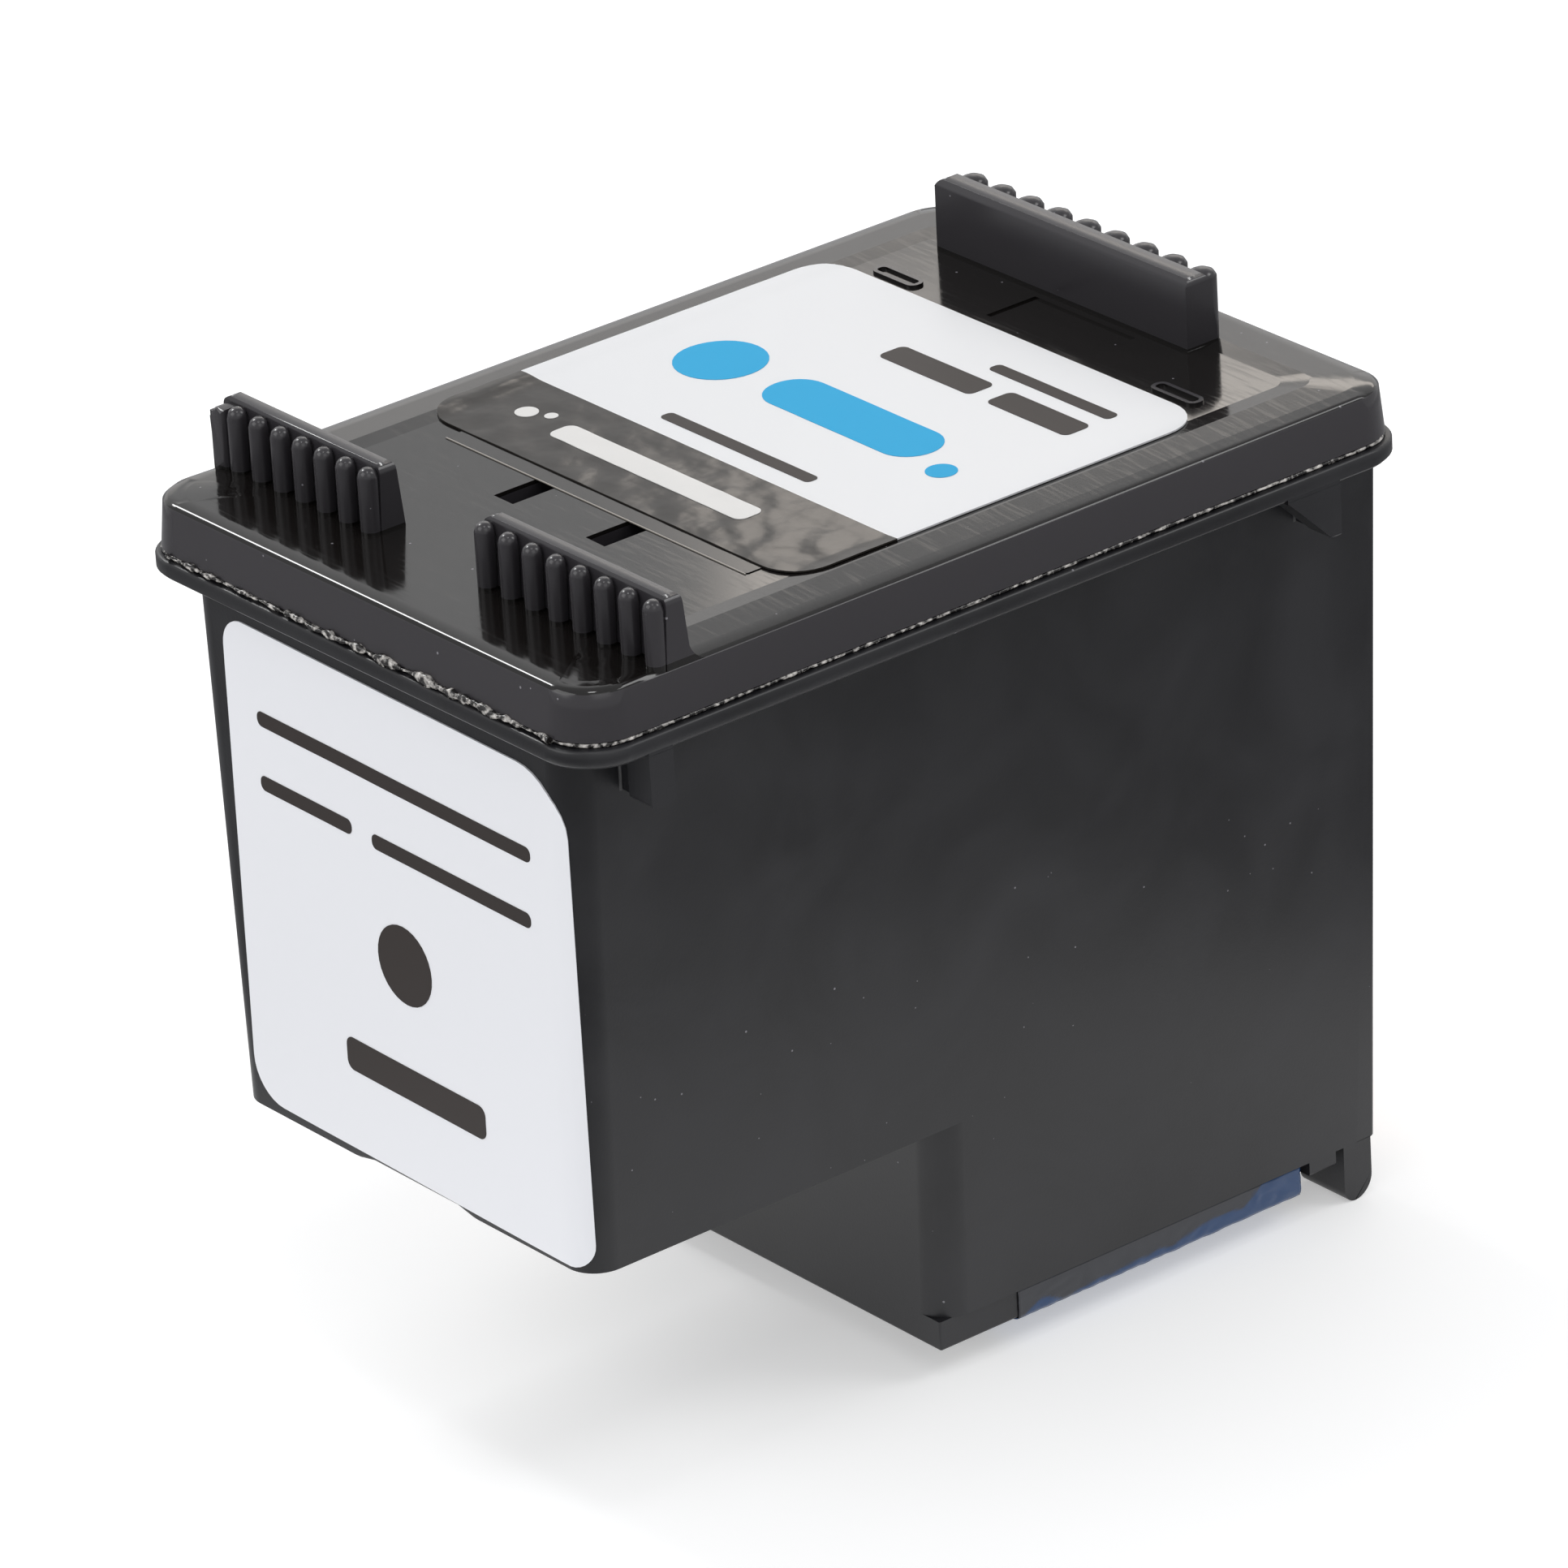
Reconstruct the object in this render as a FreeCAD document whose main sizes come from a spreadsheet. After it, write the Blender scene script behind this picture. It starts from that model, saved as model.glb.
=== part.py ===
"""Inkjet ink cartridge with its print head built in.

Millimetres. X is the width, Y the length (labelled end towards -Y, contacts towards +Y) and Z is up.
The origin lies on the surface that the cartridge rests on, under the middle of its flange.
"""
import FreeCAD, Part
import math
import os

import Sketcher

# Driving sizes, in millimetres and degrees
SIZES = (
    ("flange_long", 52.0),
    ("flange_wide", 35.4),
    ("flange_thick", 1.0),
    ("flange_base", 41.8),
    ("flange_round", 3.0),
    ("flange_edge_bevel", 0.2),
    ("wall_overhang", 2.9),
    ("wall_thick", 1.6),
    ("wall_front_step", 1.15),
    ("wall_rear_step", 0.05),
    ("side_draft", 1.66),
    ("rear_draft", 1.0),
    ("wall_round", 1.7),
    ("wall_rear_round", 1.0),
    ("chamber_bottom", 13.9),
    ("floor_thick", 1.8),
    ("snout_long", 29.4),
    ("snout_bottom", 3.2),
    ("well_bottom", 6.0),
    ("well_margin", 2.2),
    ("notch_wide", 6.6),
    ("notch_slope", 1.0),
    ("notch_shift", 0.3),
    ("notch_tall", 0.2),
    ("notch_deep", 0.7),
    ("nick_wide", 0.7),
    ("nick_tall", 0.7),
    ("nick_deep", 0.4),
    ("nick_from_side", 1.3),
    ("step_notch_long", 0.8),
    ("step_notch_deep", 1.2),
    ("base_inset", 0.25),
    ("base_bottom", 1.6),
    ("base_rear_gap", 5.7),
    ("sill_bottom", 2.45),
    ("foot_long", 3.0),
    ("foot_gap", 1.3),
    ("foot_front_round", 0.7),
    ("foot_rear_round", 1.2),
    ("land_wide", 18.0),
    ("land_long", 24.8),
    ("land_bend", 2.0),
    ("floor_rib_tall", 1.2),
    ("floor_rib_thick", 0.8),
    ("floor_rib_count", 3),
    ("pipe_wide", 10.0),
    ("pipe_long", 14.0),
    ("pipe_wall", 1.5),
    ("tab_thick", 1.7),
    ("tab_round", 0.35),
    ("tab_drop", 2.75),
    ("tab_front_start", 3.8),
    ("tab_front_long", 1.45),
    ("tab_rear_end", 5.1),
    ("tab_rear_long", 3.4),
    ("tab_rear_tip", 0.6),
    ("tab_web_thick", 0.45),
    ("lid_margin", 0.3),
    ("lid_tall", 2.3),
    ("lid_draft", 5.5),
    ("lid_round", 2.8),
    ("seam_tall", 0.25),
    ("seam_deep", 0.9),
    ("lip_thick", 1.2),
    ("lip_tall", 1.6),
    ("lip_clearance", 0.15),
    ("hold_rib_thick", 1.2),
    ("hold_rib_pitch", 12.0),
    ("grip_tall", 3.45),
    ("grip_face", 5.0),
    ("grip_thick", 1.55),
    ("grip_top_thick", 0.95),
    ("left_grip_end", 4.65),
    ("left_grip_ribs", 7),
    ("right_grip_end", 3.4),
    ("right_grip_ribs", 8),
    ("grip_post", 0.8),
    ("grip_rib_round", 0.52),
    ("grip_rib_dome", 0.45),
    ("grip_rib_lead", 0.18),
    ("grip_lean", 0.2),
    ("grip_bevel", 0.15),
    ("grip_end_round", 0.45),
    ("rear_grip_tall", 3.75),
    ("rear_grip_left_gap", 5.6),
    ("rear_grip_right_gap", 10.7),
    ("rear_grip_face", 5.4),
    ("rear_grip_thick", 2.1),
    ("rear_grip_top_thick", 1.6),
    ("rear_grip_ribs", 9),
    ("rear_rib_round", 0.75),
    ("rear_rib_dome", 0.4),
    ("rear_grip_lean", 0.05),
    ("rear_grip_bevel", 0.3),
    ("rear_grip_end_round", 0.35),
    ("slot_wide", 1.5),
    ("slot_long", 3.8),
    ("slot_deep", 1.7),
    ("slot_half_pitch", 3.55),
    ("slot_front", 12.15),
    ("vent_round", 0.5),
    ("vent_groove", 0.5),
    ("vent_deep", 0.35),
    ("vent_rear", 30.0),
    ("panel_wide", 7.6),
    ("panel_long", 3.2),
    ("panel_deep", 0.1),
    ("panel_rear", 6.0),
    ("mark_half_pitch", 10.6),
    ("mark_long", 3.3),
    ("mark_wide", 1.0),
    ("mark_line", 0.22),
    ("mark_tall", 0.15),
    ("mark_rear", 9.2),
    ("foam_clearance", 0.2),
    ("foam_top_gap", 0.3),
    ("foam_tall", 22.6),
    ("filter_thick", 0.3),
    ("filter_ledge", 0.7),
    ("die_wide", 3.6),
    ("die_long", 14.6),
    ("die_thick", 0.67),
    ("die_from_rear", 15.1),
    ("die_gap", 0.25),
    ("bead_long", 0.9),
    ("bead_thick", 0.75),
    ("glue_thick", 0.15),
    ("plate_thick", 0.06),
    ("ink_slot", 1.2),
    ("flex_thick", 0.1),
    ("flex_margin", 0.5),
    ("flex_reach", 24.1),
    ("flex_top", 35.5),
    ("flex_head_margin", 6.0),
    ("flex_head_bottom", 13.0),
    ("pad_wide", 1.9),
    ("pad_tall", 2.2),
    ("pad_thick", 0.04),
    ("pad_pitch_across", 2.6),
    ("pad_pitch_up", 3.3),
    ("pad_first_across", 4.3),
    ("pad_rows", 6),
    ("pad_columns", 3),
    ("tape_thick", 0.12),
    ("tape_long", 18.6),
    ("tape_rear_gap", 0.1),
    ("tape_edge_gap", 0.12),
    ("top_label_margin", 3.2),
    ("top_label_long", 26.0),
    ("top_label_round", 2.4),
    ("top_label_shift", -0.5),
    ("top_label_rear", 10.15),
    ("label_thick", 0.1),
    ("seal_wide", 23.1),
    ("seal_front", 14.0),
    ("seal_tuck", 5.0),
    ("seal_thick", 0.06),
    ("end_label_left", -12.3),
    ("end_label_wrap_angle", 38.0),
    ("end_label_drop", 1.4),
    ("end_label_tall", 26.1),
    ("end_label_round", 1.6),
)

# The lid's soft top: how far each step lies inside the lid's upper edge, and its height above that edge
CROWN_INSET = (0.3, 1.05, 2.75, 3.85)
CROWN_RISE = (0.19, 0.25, 0.35, 0.27)
CROWN_ROUND = (2.3, 1.8, 1.3, 1.0)

# Degrees that one facet of a grip rib takes
RIB_FACET = 20

NEAR = 1e-3
OVERRUN = 1.0

doc = FreeCAD.newDocument("ink_cartridge")


def make_sheet():
    """The spreadsheet of driving sizes."""
    sheet = doc.addObject("Spreadsheet::Sheet", "Sizes")
    for row, (alias, value) in enumerate(SIZES, start=1):
        sheet.set("A%d" % row, str(value))
        sheet.setAlias("A%d" % row, alias)
    for row, (inset, rise, turn) in enumerate(zip(CROWN_INSET, CROWN_RISE, CROWN_ROUND), start=1):
        for column, stem, value in (("B", "crown_inset", inset), ("C", "crown_rise", rise), ("D", "crown_round", turn)):
            sheet.set("%s%d" % (column, row), str(value))
            sheet.setAlias("%s%d" % (column, row), "%s_%s" % (stem, "abcd"[row - 1]))
    doc.recompute()
    return sheet


SHEET = make_sheet()


def sized(text):
    """Puts the sheet's name before each of its words in a formula."""
    words = []
    word = ""
    for letter in text + " ":
        if letter.isalnum() or letter == "_":
            word += letter
            continue
        if word:
            words.append("Sizes." + word if SHEET.getCellFromAlias(word) else word)
            word = ""
        words.append(letter)
    return "".join(words).strip()


def value(text):
    """The number that a formula of sizes comes to now."""
    return float(SHEET.evalExpression(sized(text)))


# Formulas that several pieces share
REAR_SLOPE = "tan(rear_draft * 1 deg)"
SIDE_SLOPE = "tan(side_draft * 1 deg)"
LID_FOOT = "(flange_base + flange_thick)"
LID_EDGE = "(flange_base + flange_thick + seam_tall + lid_tall)"
FIELD = "(%s + crown_rise_d)" % LID_EDGE
LID_HALF = "(flange_wide / 2 - lid_margin)"
LID_REACH = "(flange_long / 2 - lid_margin)"
RIM_HALF = "(%s - tan(lid_draft * 1 deg) * lid_tall)" % LID_HALF
RIM_REACH = "(%s - tan(lid_draft * 1 deg) * lid_tall)" % LID_REACH
WALL_FRONT = "(wall_front_step - flange_long / 2)"
WALL_WIDE = "(flange_wide - 2 * wall_overhang)"
SNOUT_FRONT = "(flange_long / 2 - snout_long)"
BASE_REAR = "(flange_long / 2 - base_rear_gap)"
FOOT_FRONT = "(flange_long / 2 - foot_long)"
FOOT_INNER = "(land_wide / 2 + foot_gap)"
LAND_FRONT = "(flange_long / 2 - land_long)"
DIE_MIDDLE = "(flange_long / 2 - die_from_rear)"
FLEX_WIDE = "(land_wide - 2 * flex_margin)"
FLEX_FRONT = "(flange_long / 2 - flex_reach)"
FLEX_HEAD_WIDE = "(flange_wide - 2 * flex_head_margin)"
TAPE_REAR = "(%s - tape_rear_gap)" % BASE_REAR
FLOOR_RIB_PITCH = "((%s - %s - wall_thick) / (floor_rib_count + 1))" % (SNOUT_FRONT, WALL_FRONT)
REAR_GRIP_LEFT = "(rear_grip_left_gap - flange_wide / 2)"
REAR_GRIP_RIGHT = "(flange_wide / 2 - rear_grip_right_gap)"
FLOOR = "(chamber_bottom + floor_thick)"
FOAM_BASE = "(%s + floor_rib_tall)" % FLOOR
LAND_BOTTOM = "(tape_thick + flex_thick)"
DIE_TOP = "(tape_thick + plate_thick + die_thick)"
POCKET_TOP = "(%s + glue_thick)" % DIE_TOP


def wall_half(height):
    """Half the outer width of the drafted side walls at a height."""
    return "(%s / 2 - %s * (flange_base - (%s)))" % (WALL_WIDE, SIDE_SLOPE, height)


def wall_rear(height):
    """The drafted rear wall's outer face at a height."""
    return "(flange_long / 2 - wall_rear_step - %s * (flange_base - (%s)))" % (REAR_SLOPE, height)


def new_body(label):
    body = doc.addObject("PartDesign::Body", label)
    body.Label = label
    return body


def sketch(body, name, role, offset="0", shift=None):
    """A sketch on one of the body's own planes, moved along the plane's normal by a formula."""
    made = body.newObject("Sketcher::SketchObject", name)
    plane = [item for item in body.Origin.OriginFeatures if item.Role == role][0]
    made.AttachmentSupport = [(plane, "")]
    made.MapMode = "FlatFace"
    made.setExpression("AttachmentOffset.Base.z", sized(offset))
    if shift:
        made.setExpression("AttachmentOffset.Base.x", sized(shift[0]))
        made.setExpression("AttachmentOffset.Base.y", sized(shift[1]))
    return made


def pin(made, kind, geometry, point, formula):
    """Ties one coordinate of a sketch point to a formula."""
    number = value(formula)
    index = made.addConstraint(Sketcher.Constraint(kind, -1, 1, geometry, point, number))
    made.setExpression("Constraints[%d]" % index, sized(formula))


def polygon(made, corners):
    """A closed outline whose corners are pairs of formulas."""
    first = made.GeometryCount
    spots = [FreeCAD.Vector(value(across), value(up), 0) for across, up in corners]
    count = len(corners)
    for index in range(count):
        made.addGeometry(Part.LineSegment(spots[index], spots[(index + 1) % count]), False)
    for index in range(count):
        after = first + (index + 1) % count
        made.addConstraint(Sketcher.Constraint("Coincident", first + index, 2, after, 1))
    for index, (across, up) in enumerate(corners):
        pin(made, "DistanceX", first + index, 1, across)
        pin(made, "DistanceY", first + index, 1, up)


def rectangle(made, left, right, low, high):
    polygon(made, ((left, low), (right, low), (right, high), (left, high)))


def rounded_rectangle(made, left, right, low, high, front_round, rear_round=None):
    """A rectangle with arcs at its corners; the two low ones may differ from the two high ones."""
    rear_round = rear_round or front_round
    first = made.GeometryCount
    x0, x1, y0, y1 = (value(item) for item in (left, right, low, high))
    front, rear = value(front_round), value(rear_round)
    point = FreeCAD.Vector
    for start, end in (
        (point(x0 + front, y0, 0), point(x1 - front, y0, 0)),
        (point(x1, y0 + front, 0), point(x1, y1 - rear, 0)),
        (point(x1 - rear, y1, 0), point(x0 + rear, y1, 0)),
        (point(x0, y1 - rear, 0), point(x0, y0 + front, 0)),
    ):
        made.addGeometry(Part.LineSegment(start, end), False)
    up = FreeCAD.Vector(0, 0, 1)
    for middle, size, turn in (
        (point(x1 - front, y0 + front, 0), front, -90),
        (point(x1 - rear, y1 - rear, 0), rear, 0),
        (point(x0 + rear, y1 - rear, 0), rear, 90),
        (point(x0 + front, y0 + front, 0), front, 180),
    ):
        circle = Part.Circle(middle, up, size)
        start = math.radians(turn)
        made.addGeometry(Part.ArcOfCircle(circle, start, start + math.pi / 2), False)
    for index in range(4):
        arc = first + 4 + index
        made.addConstraint(Sketcher.Constraint("Tangent", first + index, 2, arc, 1))
        made.addConstraint(Sketcher.Constraint("Tangent", arc, 2, first + (index + 1) % 4, 1))
        kind = "Horizontal" if index % 2 == 0 else "Vertical"
        made.addConstraint(Sketcher.Constraint(kind, first + index))
    for arc, formula in ((4, front_round), (5, rear_round)):
        index = made.addConstraint(Sketcher.Constraint("Radius", first + arc, value(formula)))
        made.setExpression("Constraints[%d]" % index, sized(formula))
    made.addConstraint(Sketcher.Constraint("Equal", first + 4, first + 7))
    made.addConstraint(Sketcher.Constraint("Equal", first + 5, first + 6))
    pin(made, "DistanceY", first, 1, low)
    pin(made, "DistanceX", first + 1, 1, right)
    pin(made, "DistanceY", first + 2, 1, high)
    pin(made, "DistanceX", first + 3, 1, left)


def feature(body, kind, name, profile, length, reverse=False, middle=False, taper=None):
    """A pad or pocket of a sketch; its effect on the volume is checked."""
    doc.recompute()
    before = body.Shape.Volume if body.Tip and not body.Shape.isNull() else 0.0
    made = body.newObject("PartDesign::" + kind, name)
    made.Profile = profile
    made.setExpression("Length", sized(length))
    made.Reversed = reverse
    made.SideType = "Symmetric" if middle else "One side"
    if taper:
        made.setExpression("TaperAngle", sized(taper))
    doc.recompute()
    change = made.Shape.Volume - before
    if kind == "Pocket" and change >= 0 or kind == "Pad" and change <= 0:
        raise RuntimeError("%s in %s changes nothing" % (name, body.Label))
    return made


def loft(body, kind, name, profiles):
    made = body.newObject("PartDesign::" + kind, name)
    made.Profile = profiles[0]
    made.Sections = list(profiles[1:])
    made.Ruled = True
    doc.recompute()
    return made


def edges_of(made, wanted):
    """Names of the edges that a test picks."""
    return ["Edge%d" % number for number, edge in enumerate(made.Shape.Edges, start=1) if wanted(edge)]


def round_edges(body, name, made, wanted, radius):
    names = edges_of(made, wanted)
    if not names:
        raise RuntimeError("no edges for %s" % name)
    rounded = body.newObject("PartDesign::Fillet", name)
    rounded.Base = (made, names)
    rounded.setExpression("Radius", sized(radius))
    doc.recompute()
    return rounded


def wall_section(body, name, height, inset="0"):
    """Outline of the drafted walls at a height, moved inwards by a formula."""
    made = sketch(body, name, "XY_Plane", height)
    half = "%s - (%s)" % (wall_half(height), inset)
    front = "%s + (%s)" % (WALL_FRONT, inset)
    rear = "%s - (%s)" % (wall_rear(height), inset)
    if inset == "0":
        rounded_rectangle(made, "-(%s)" % half, half, front, rear, "wall_round", "wall_rear_round")
    else:
        rounded_rectangle(made, "-(%s)" % half, half, front, rear, "wall_round - wall_thick / 2")
    return made


def body_shell(body):
    """Flange and drafted walls down to the snout's ledge, with the space under the nose cut away."""
    outline = sketch(body, "flange_outline", "XY_Plane", "flange_base")
    rounded_rectangle(outline, "-flange_wide / 2", "flange_wide / 2", "-flange_long / 2", "flange_long / 2", "flange_round")
    flange = feature(body, "Pad", "flange", outline, "flange_thick")
    bevel = body.newObject("PartDesign::Chamfer", "flange_edges")
    bevel.Base = (flange, edges_of(flange, lambda edge: edge.BoundBox.ZLength < NEAR))
    bevel.setExpression("Size", sized("flange_edge_bevel"))
    doc.recompute()
    loft(body, "AdditiveLoft", "walls", (wall_section(body, "wall_top", "flange_base"),
                                         wall_section(body, "wall_foot", "snout_bottom")))
    under = sketch(body, "under_nose_outline", "YZ_Plane")
    rectangle(under, "-flange_long", SNOUT_FRONT, "0", "chamber_bottom")
    cut = feature(body, "Pocket", "under_nose", under, "2 * flange_wide", middle=True)
    front = value(SNOUT_FRONT)
    bottom = value("chamber_bottom")

    def snout_corner(edge):
        box = edge.BoundBox
        return abs(box.YMin - front) < NEAR and abs(box.YMax - front) < NEAR and box.ZLength > bottom / 2

    round_edges(body, "snout_corners", cut, snout_corner, "wall_round")
    notch = sketch(body, "notch_outline", "XZ_Plane", "-(%s)" % WALL_FRONT, shift=("notch_shift", "chamber_bottom"))
    polygon(notch, (("-(notch_wide / 2 + notch_slope)", "0"), ("notch_wide / 2 + notch_slope", "0"),
                    ("notch_wide / 2", "notch_tall"), ("-notch_wide / 2", "notch_tall")))
    feature(body, "Pocket", "front_notch", notch, "2 * notch_deep", middle=True)
    nick = sketch(body, "nick_outline", "XZ_Plane", "-(%s)" % SNOUT_FRONT, shift=("0", "chamber_bottom"))
    side = "(%s - nick_from_side)" % wall_half("chamber_bottom")
    polygon(nick, (("%s - nick_wide" % side, "0"), ("%s - nick_wide / 3" % side, "-nick_tall"), (side, "0")))
    feature(body, "Pocket", "nick", nick, "2 * nick_deep", middle=True)


def body_underside(body):
    """The block under the snout, the sill and feet at the rear, and the land that carries the print head."""
    half = wall_half("snout_bottom")
    base = sketch(body, "base_outline", "XY_Plane", "snout_bottom")
    rectangle(base, "-(%s - base_inset)" % half, "%s - base_inset" % half, SNOUT_FRONT, BASE_REAR)
    feature(body, "Pad", "base_block", base, "snout_bottom - base_bottom", reverse=True)
    sill = sketch(body, "sill_outline", "XY_Plane", "snout_bottom")
    rectangle(sill, "-(%s)" % half, half, BASE_REAR, "%s - 0.7 * (snout_bottom - sill_bottom)" % FOOT_FRONT)
    feature(body, "Pad", "sill", sill, "snout_bottom - sill_bottom", reverse=True)
    rear = wall_rear("snout_bottom")
    feet = sketch(body, "feet_outline", "XY_Plane", "snout_bottom")
    rectangle(feet, "-(%s)" % half, "-%s" % FOOT_INNER, FOOT_FRONT, rear)
    rectangle(feet, FOOT_INNER, half, FOOT_FRONT, rear)
    made = feature(body, "Pad", "feet", feet, "snout_bottom", reverse=True)
    for side, sign in (("right", ""), ("left", "-")):
        step = sketch(body, side + "_step_notch_outline", "YZ_Plane", "%s(%s)" % (sign, half))
        rectangle(step, "%s - step_notch_long / 2" % BASE_REAR, "%s + step_notch_long / 2" % BASE_REAR,
                  "sill_bottom", "snout_bottom")
        made = feature(body, "Pocket", side + "_step_notch", step, "2 * step_notch_deep", middle=True)
    for name, place, radius in (("foot_heels", rear, "foot_rear_round"), ("foot_toes", FOOT_FRONT, "foot_front_round")):
        spot = value(place)

        def foot_edge(edge):
            box = edge.BoundBox
            low = box.ZMax < NEAR and box.YLength < NEAR
            return low and abs(box.YMin - spot) < NEAR and box.XLength > NEAR

        made = round_edges(body, name, made, foot_edge, radius)
    land = sketch(body, "land_outline", "YZ_Plane")
    top = "snout_bottom + floor_thick"
    polygon(land, ((LAND_FRONT, LAND_BOTTOM), (wall_rear(LAND_BOTTOM), LAND_BOTTOM),
                   (wall_rear(top), top), (LAND_FRONT, top)))
    made = feature(body, "Pad", "land", land, "land_wide", middle=True)
    rear_edge, bottom = value(wall_rear(LAND_BOTTOM)), value(LAND_BOTTOM)

    def land_heel(edge):
        box = edge.BoundBox
        level = box.ZLength < NEAR and abs(box.ZMin - bottom) < NEAR
        return level and abs(box.YMin - rear_edge) < NEAR and abs(box.YMax - rear_edge) < NEAR

    round_edges(body, "land_bend_round", made, land_heel, "land_bend")


def body_hollows(body):
    """Foam chamber, well in the snout, standpipe, ink slot and the pocket for the print head."""
    loft(body, "SubtractiveLoft", "chamber", (wall_section(body, "chamber_top", LID_FOOT, "wall_thick"),
                                              wall_section(body, "chamber_floor", FLOOR, "wall_thick")))
    well = sketch(body, "well_outline", "XY_Plane", FLOOR)
    half = wall_half("well_bottom")
    rectangle(well, "-(%s - well_margin)" % half, "%s - well_margin" % half,
              "%s + well_margin" % SNOUT_FRONT, "%s - well_margin" % wall_rear("well_bottom"))
    feature(body, "Pocket", "well", well, "%s - well_bottom" % FLOOR)
    pipe = sketch(body, "standpipe_outline", "XY_Plane", "well_bottom")
    rounded_rectangle(pipe, "-pipe_wide / 2", "pipe_wide / 2", "%s - pipe_long / 2" % DIE_MIDDLE, "%s + pipe_long / 2" % DIE_MIDDLE, "pipe_wall")
    feature(body, "Pad", "standpipe", pipe, "%s - well_bottom" % FOAM_BASE)
    seat = sketch(body, "filter_seat_outline", "XY_Plane", FOAM_BASE)
    rectangle(seat, "-(pipe_wide / 2 - filter_ledge)", "pipe_wide / 2 - filter_ledge",
              "%s - (pipe_long / 2 - filter_ledge)" % DIE_MIDDLE, "%s + (pipe_long / 2 - filter_ledge)" % DIE_MIDDLE)
    feature(body, "Pocket", "filter_seat", seat, "filter_thick")
    bore = sketch(body, "bore_outline", "XY_Plane", FOAM_BASE)
    rectangle(bore, "-(pipe_wide / 2 - pipe_wall)", "pipe_wide / 2 - pipe_wall",
              "%s - (pipe_long / 2 - pipe_wall)" % DIE_MIDDLE, "%s + (pipe_long / 2 - pipe_wall)" % DIE_MIDDLE)
    feature(body, "Pocket", "bore", bore, "%s - well_bottom + pipe_wall / 2" % FOAM_BASE)
    pocket = sketch(body, "head_pocket_outline", "XY_Plane", LAND_BOTTOM)
    rectangle(pocket, "-(die_wide / 2 + die_gap)", "die_wide / 2 + die_gap",
              "%s - (die_long / 2 + bead_long)" % DIE_MIDDLE, "%s + die_long / 2 + bead_long" % DIE_MIDDLE)
    feature(body, "Pocket", "head_pocket", pocket, "%s - %s" % (POCKET_TOP, LAND_BOTTOM), reverse=True)
    slot = sketch(body, "ink_slot_outline", "XY_Plane", LAND_BOTTOM)
    rectangle(slot, "-ink_slot / 2", "ink_slot / 2",
              "%s - (pipe_long / 2 - 2 * pipe_wall)" % DIE_MIDDLE, "%s + (pipe_long / 2 - 2 * pipe_wall)" % DIE_MIDDLE)
    feature(body, "Pocket", "ink_slot_cut", slot, "well_bottom - %s" % LAND_BOTTOM, reverse=True)
    ribs = sketch(body, "floor_rib_outline", "XY_Plane", FLOOR)
    half = wall_half(FLOOR)
    start = "(%s + wall_thick + %s)" % (WALL_FRONT, FLOOR_RIB_PITCH)
    rectangle(ribs, "-(%s - 2 * wall_thick)" % half, "%s - 2 * wall_thick" % half,
              start, "%s + floor_rib_thick" % start)
    rib = feature(body, "Pad", "floor_rib", ribs, "floor_rib_tall")
    repeat(body, "floor_ribs", rib, ribs, "V_Axis", "%s * (floor_rib_count - 1)" % FLOOR_RIB_PITCH, "floor_rib_count")


def repeat(body, name, made, guide, axis, length, count):
    """A straight row of copies of one feature."""
    row = body.newObject("PartDesign::LinearPattern", name)
    row.Originals = [made]
    row.Direction = (guide, [axis])
    row.setExpression("Length", sized(length))
    row.setExpression("Occurrences", sized(count))
    body.Tip = row
    doc.recompute()
    return row


def body_tabs(body):
    """The small lips that hang from the flange, flush with its sides, and the webs behind the front pair."""
    outer = "flange_wide / 2"
    low = "flange_base - tab_drop"
    front = "(tab_front_start - flange_long / 2)"
    rear = "(flange_long / 2 - tab_rear_end)"
    for side, sign in (("right", ""), ("left", "-")):
        plate = sketch(body, side + "_front_tab_outline", "YZ_Plane", "%s(%s)" % (sign, outer))
        rectangle(plate, front, "%s + tab_front_long" % front, low, "flange_base")
        tab = feature(body, "Pad", side + "_front_tab", plate, "tab_thick", reverse=not sign)
        level, rear_face = value(low), value("%s + tab_front_long" % front)

        def tab_edge(edge):
            box = edge.BoundBox
            here = (box.XMin < 0) == bool(sign) and box.YMax < rear_face + NEAR
            return here and abs(box.ZMin - level) < NEAR and max(box.ZLength, box.YLength) < NEAR < box.XLength

        round_edges(body, side + "_tab_edges", tab, tab_edge, "tab_round")
        plate = sketch(body, side + "_rear_tab_outline", "YZ_Plane", "%s(%s)" % (sign, outer))
        polygon(plate, (("%s - tab_rear_long" % rear, "flange_base"), ("%s - tab_rear_tip" % rear, low),
                        (rear, low), (rear, "flange_base")))
        feature(body, "Pad", side + "_rear_tab", plate, "tab_thick", reverse=not sign)
        web = sketch(body, side + "_web_outline", "YZ_Plane", "%s(%s)" % (sign, outer))
        middle = "(%s + tab_front_long / 2)" % front
        rectangle(web, "%s - tab_web_thick / 2" % middle, "%s + tab_web_thick / 2" % middle, low, "flange_base")
        rectangle(web, "%s - tab_web_thick" % rear, rear, low, "flange_base")
        feature(body, "Pad", side + "_webs", web, "%s - %s + wall_thick / 2" % (outer, wall_half(low)), reverse=not sign)


def make_pen_body():
    body = new_body("pen_body")
    body_shell(body)
    body_underside(body)
    body_tabs(body)
    body_hollows(body)
    return body


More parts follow.
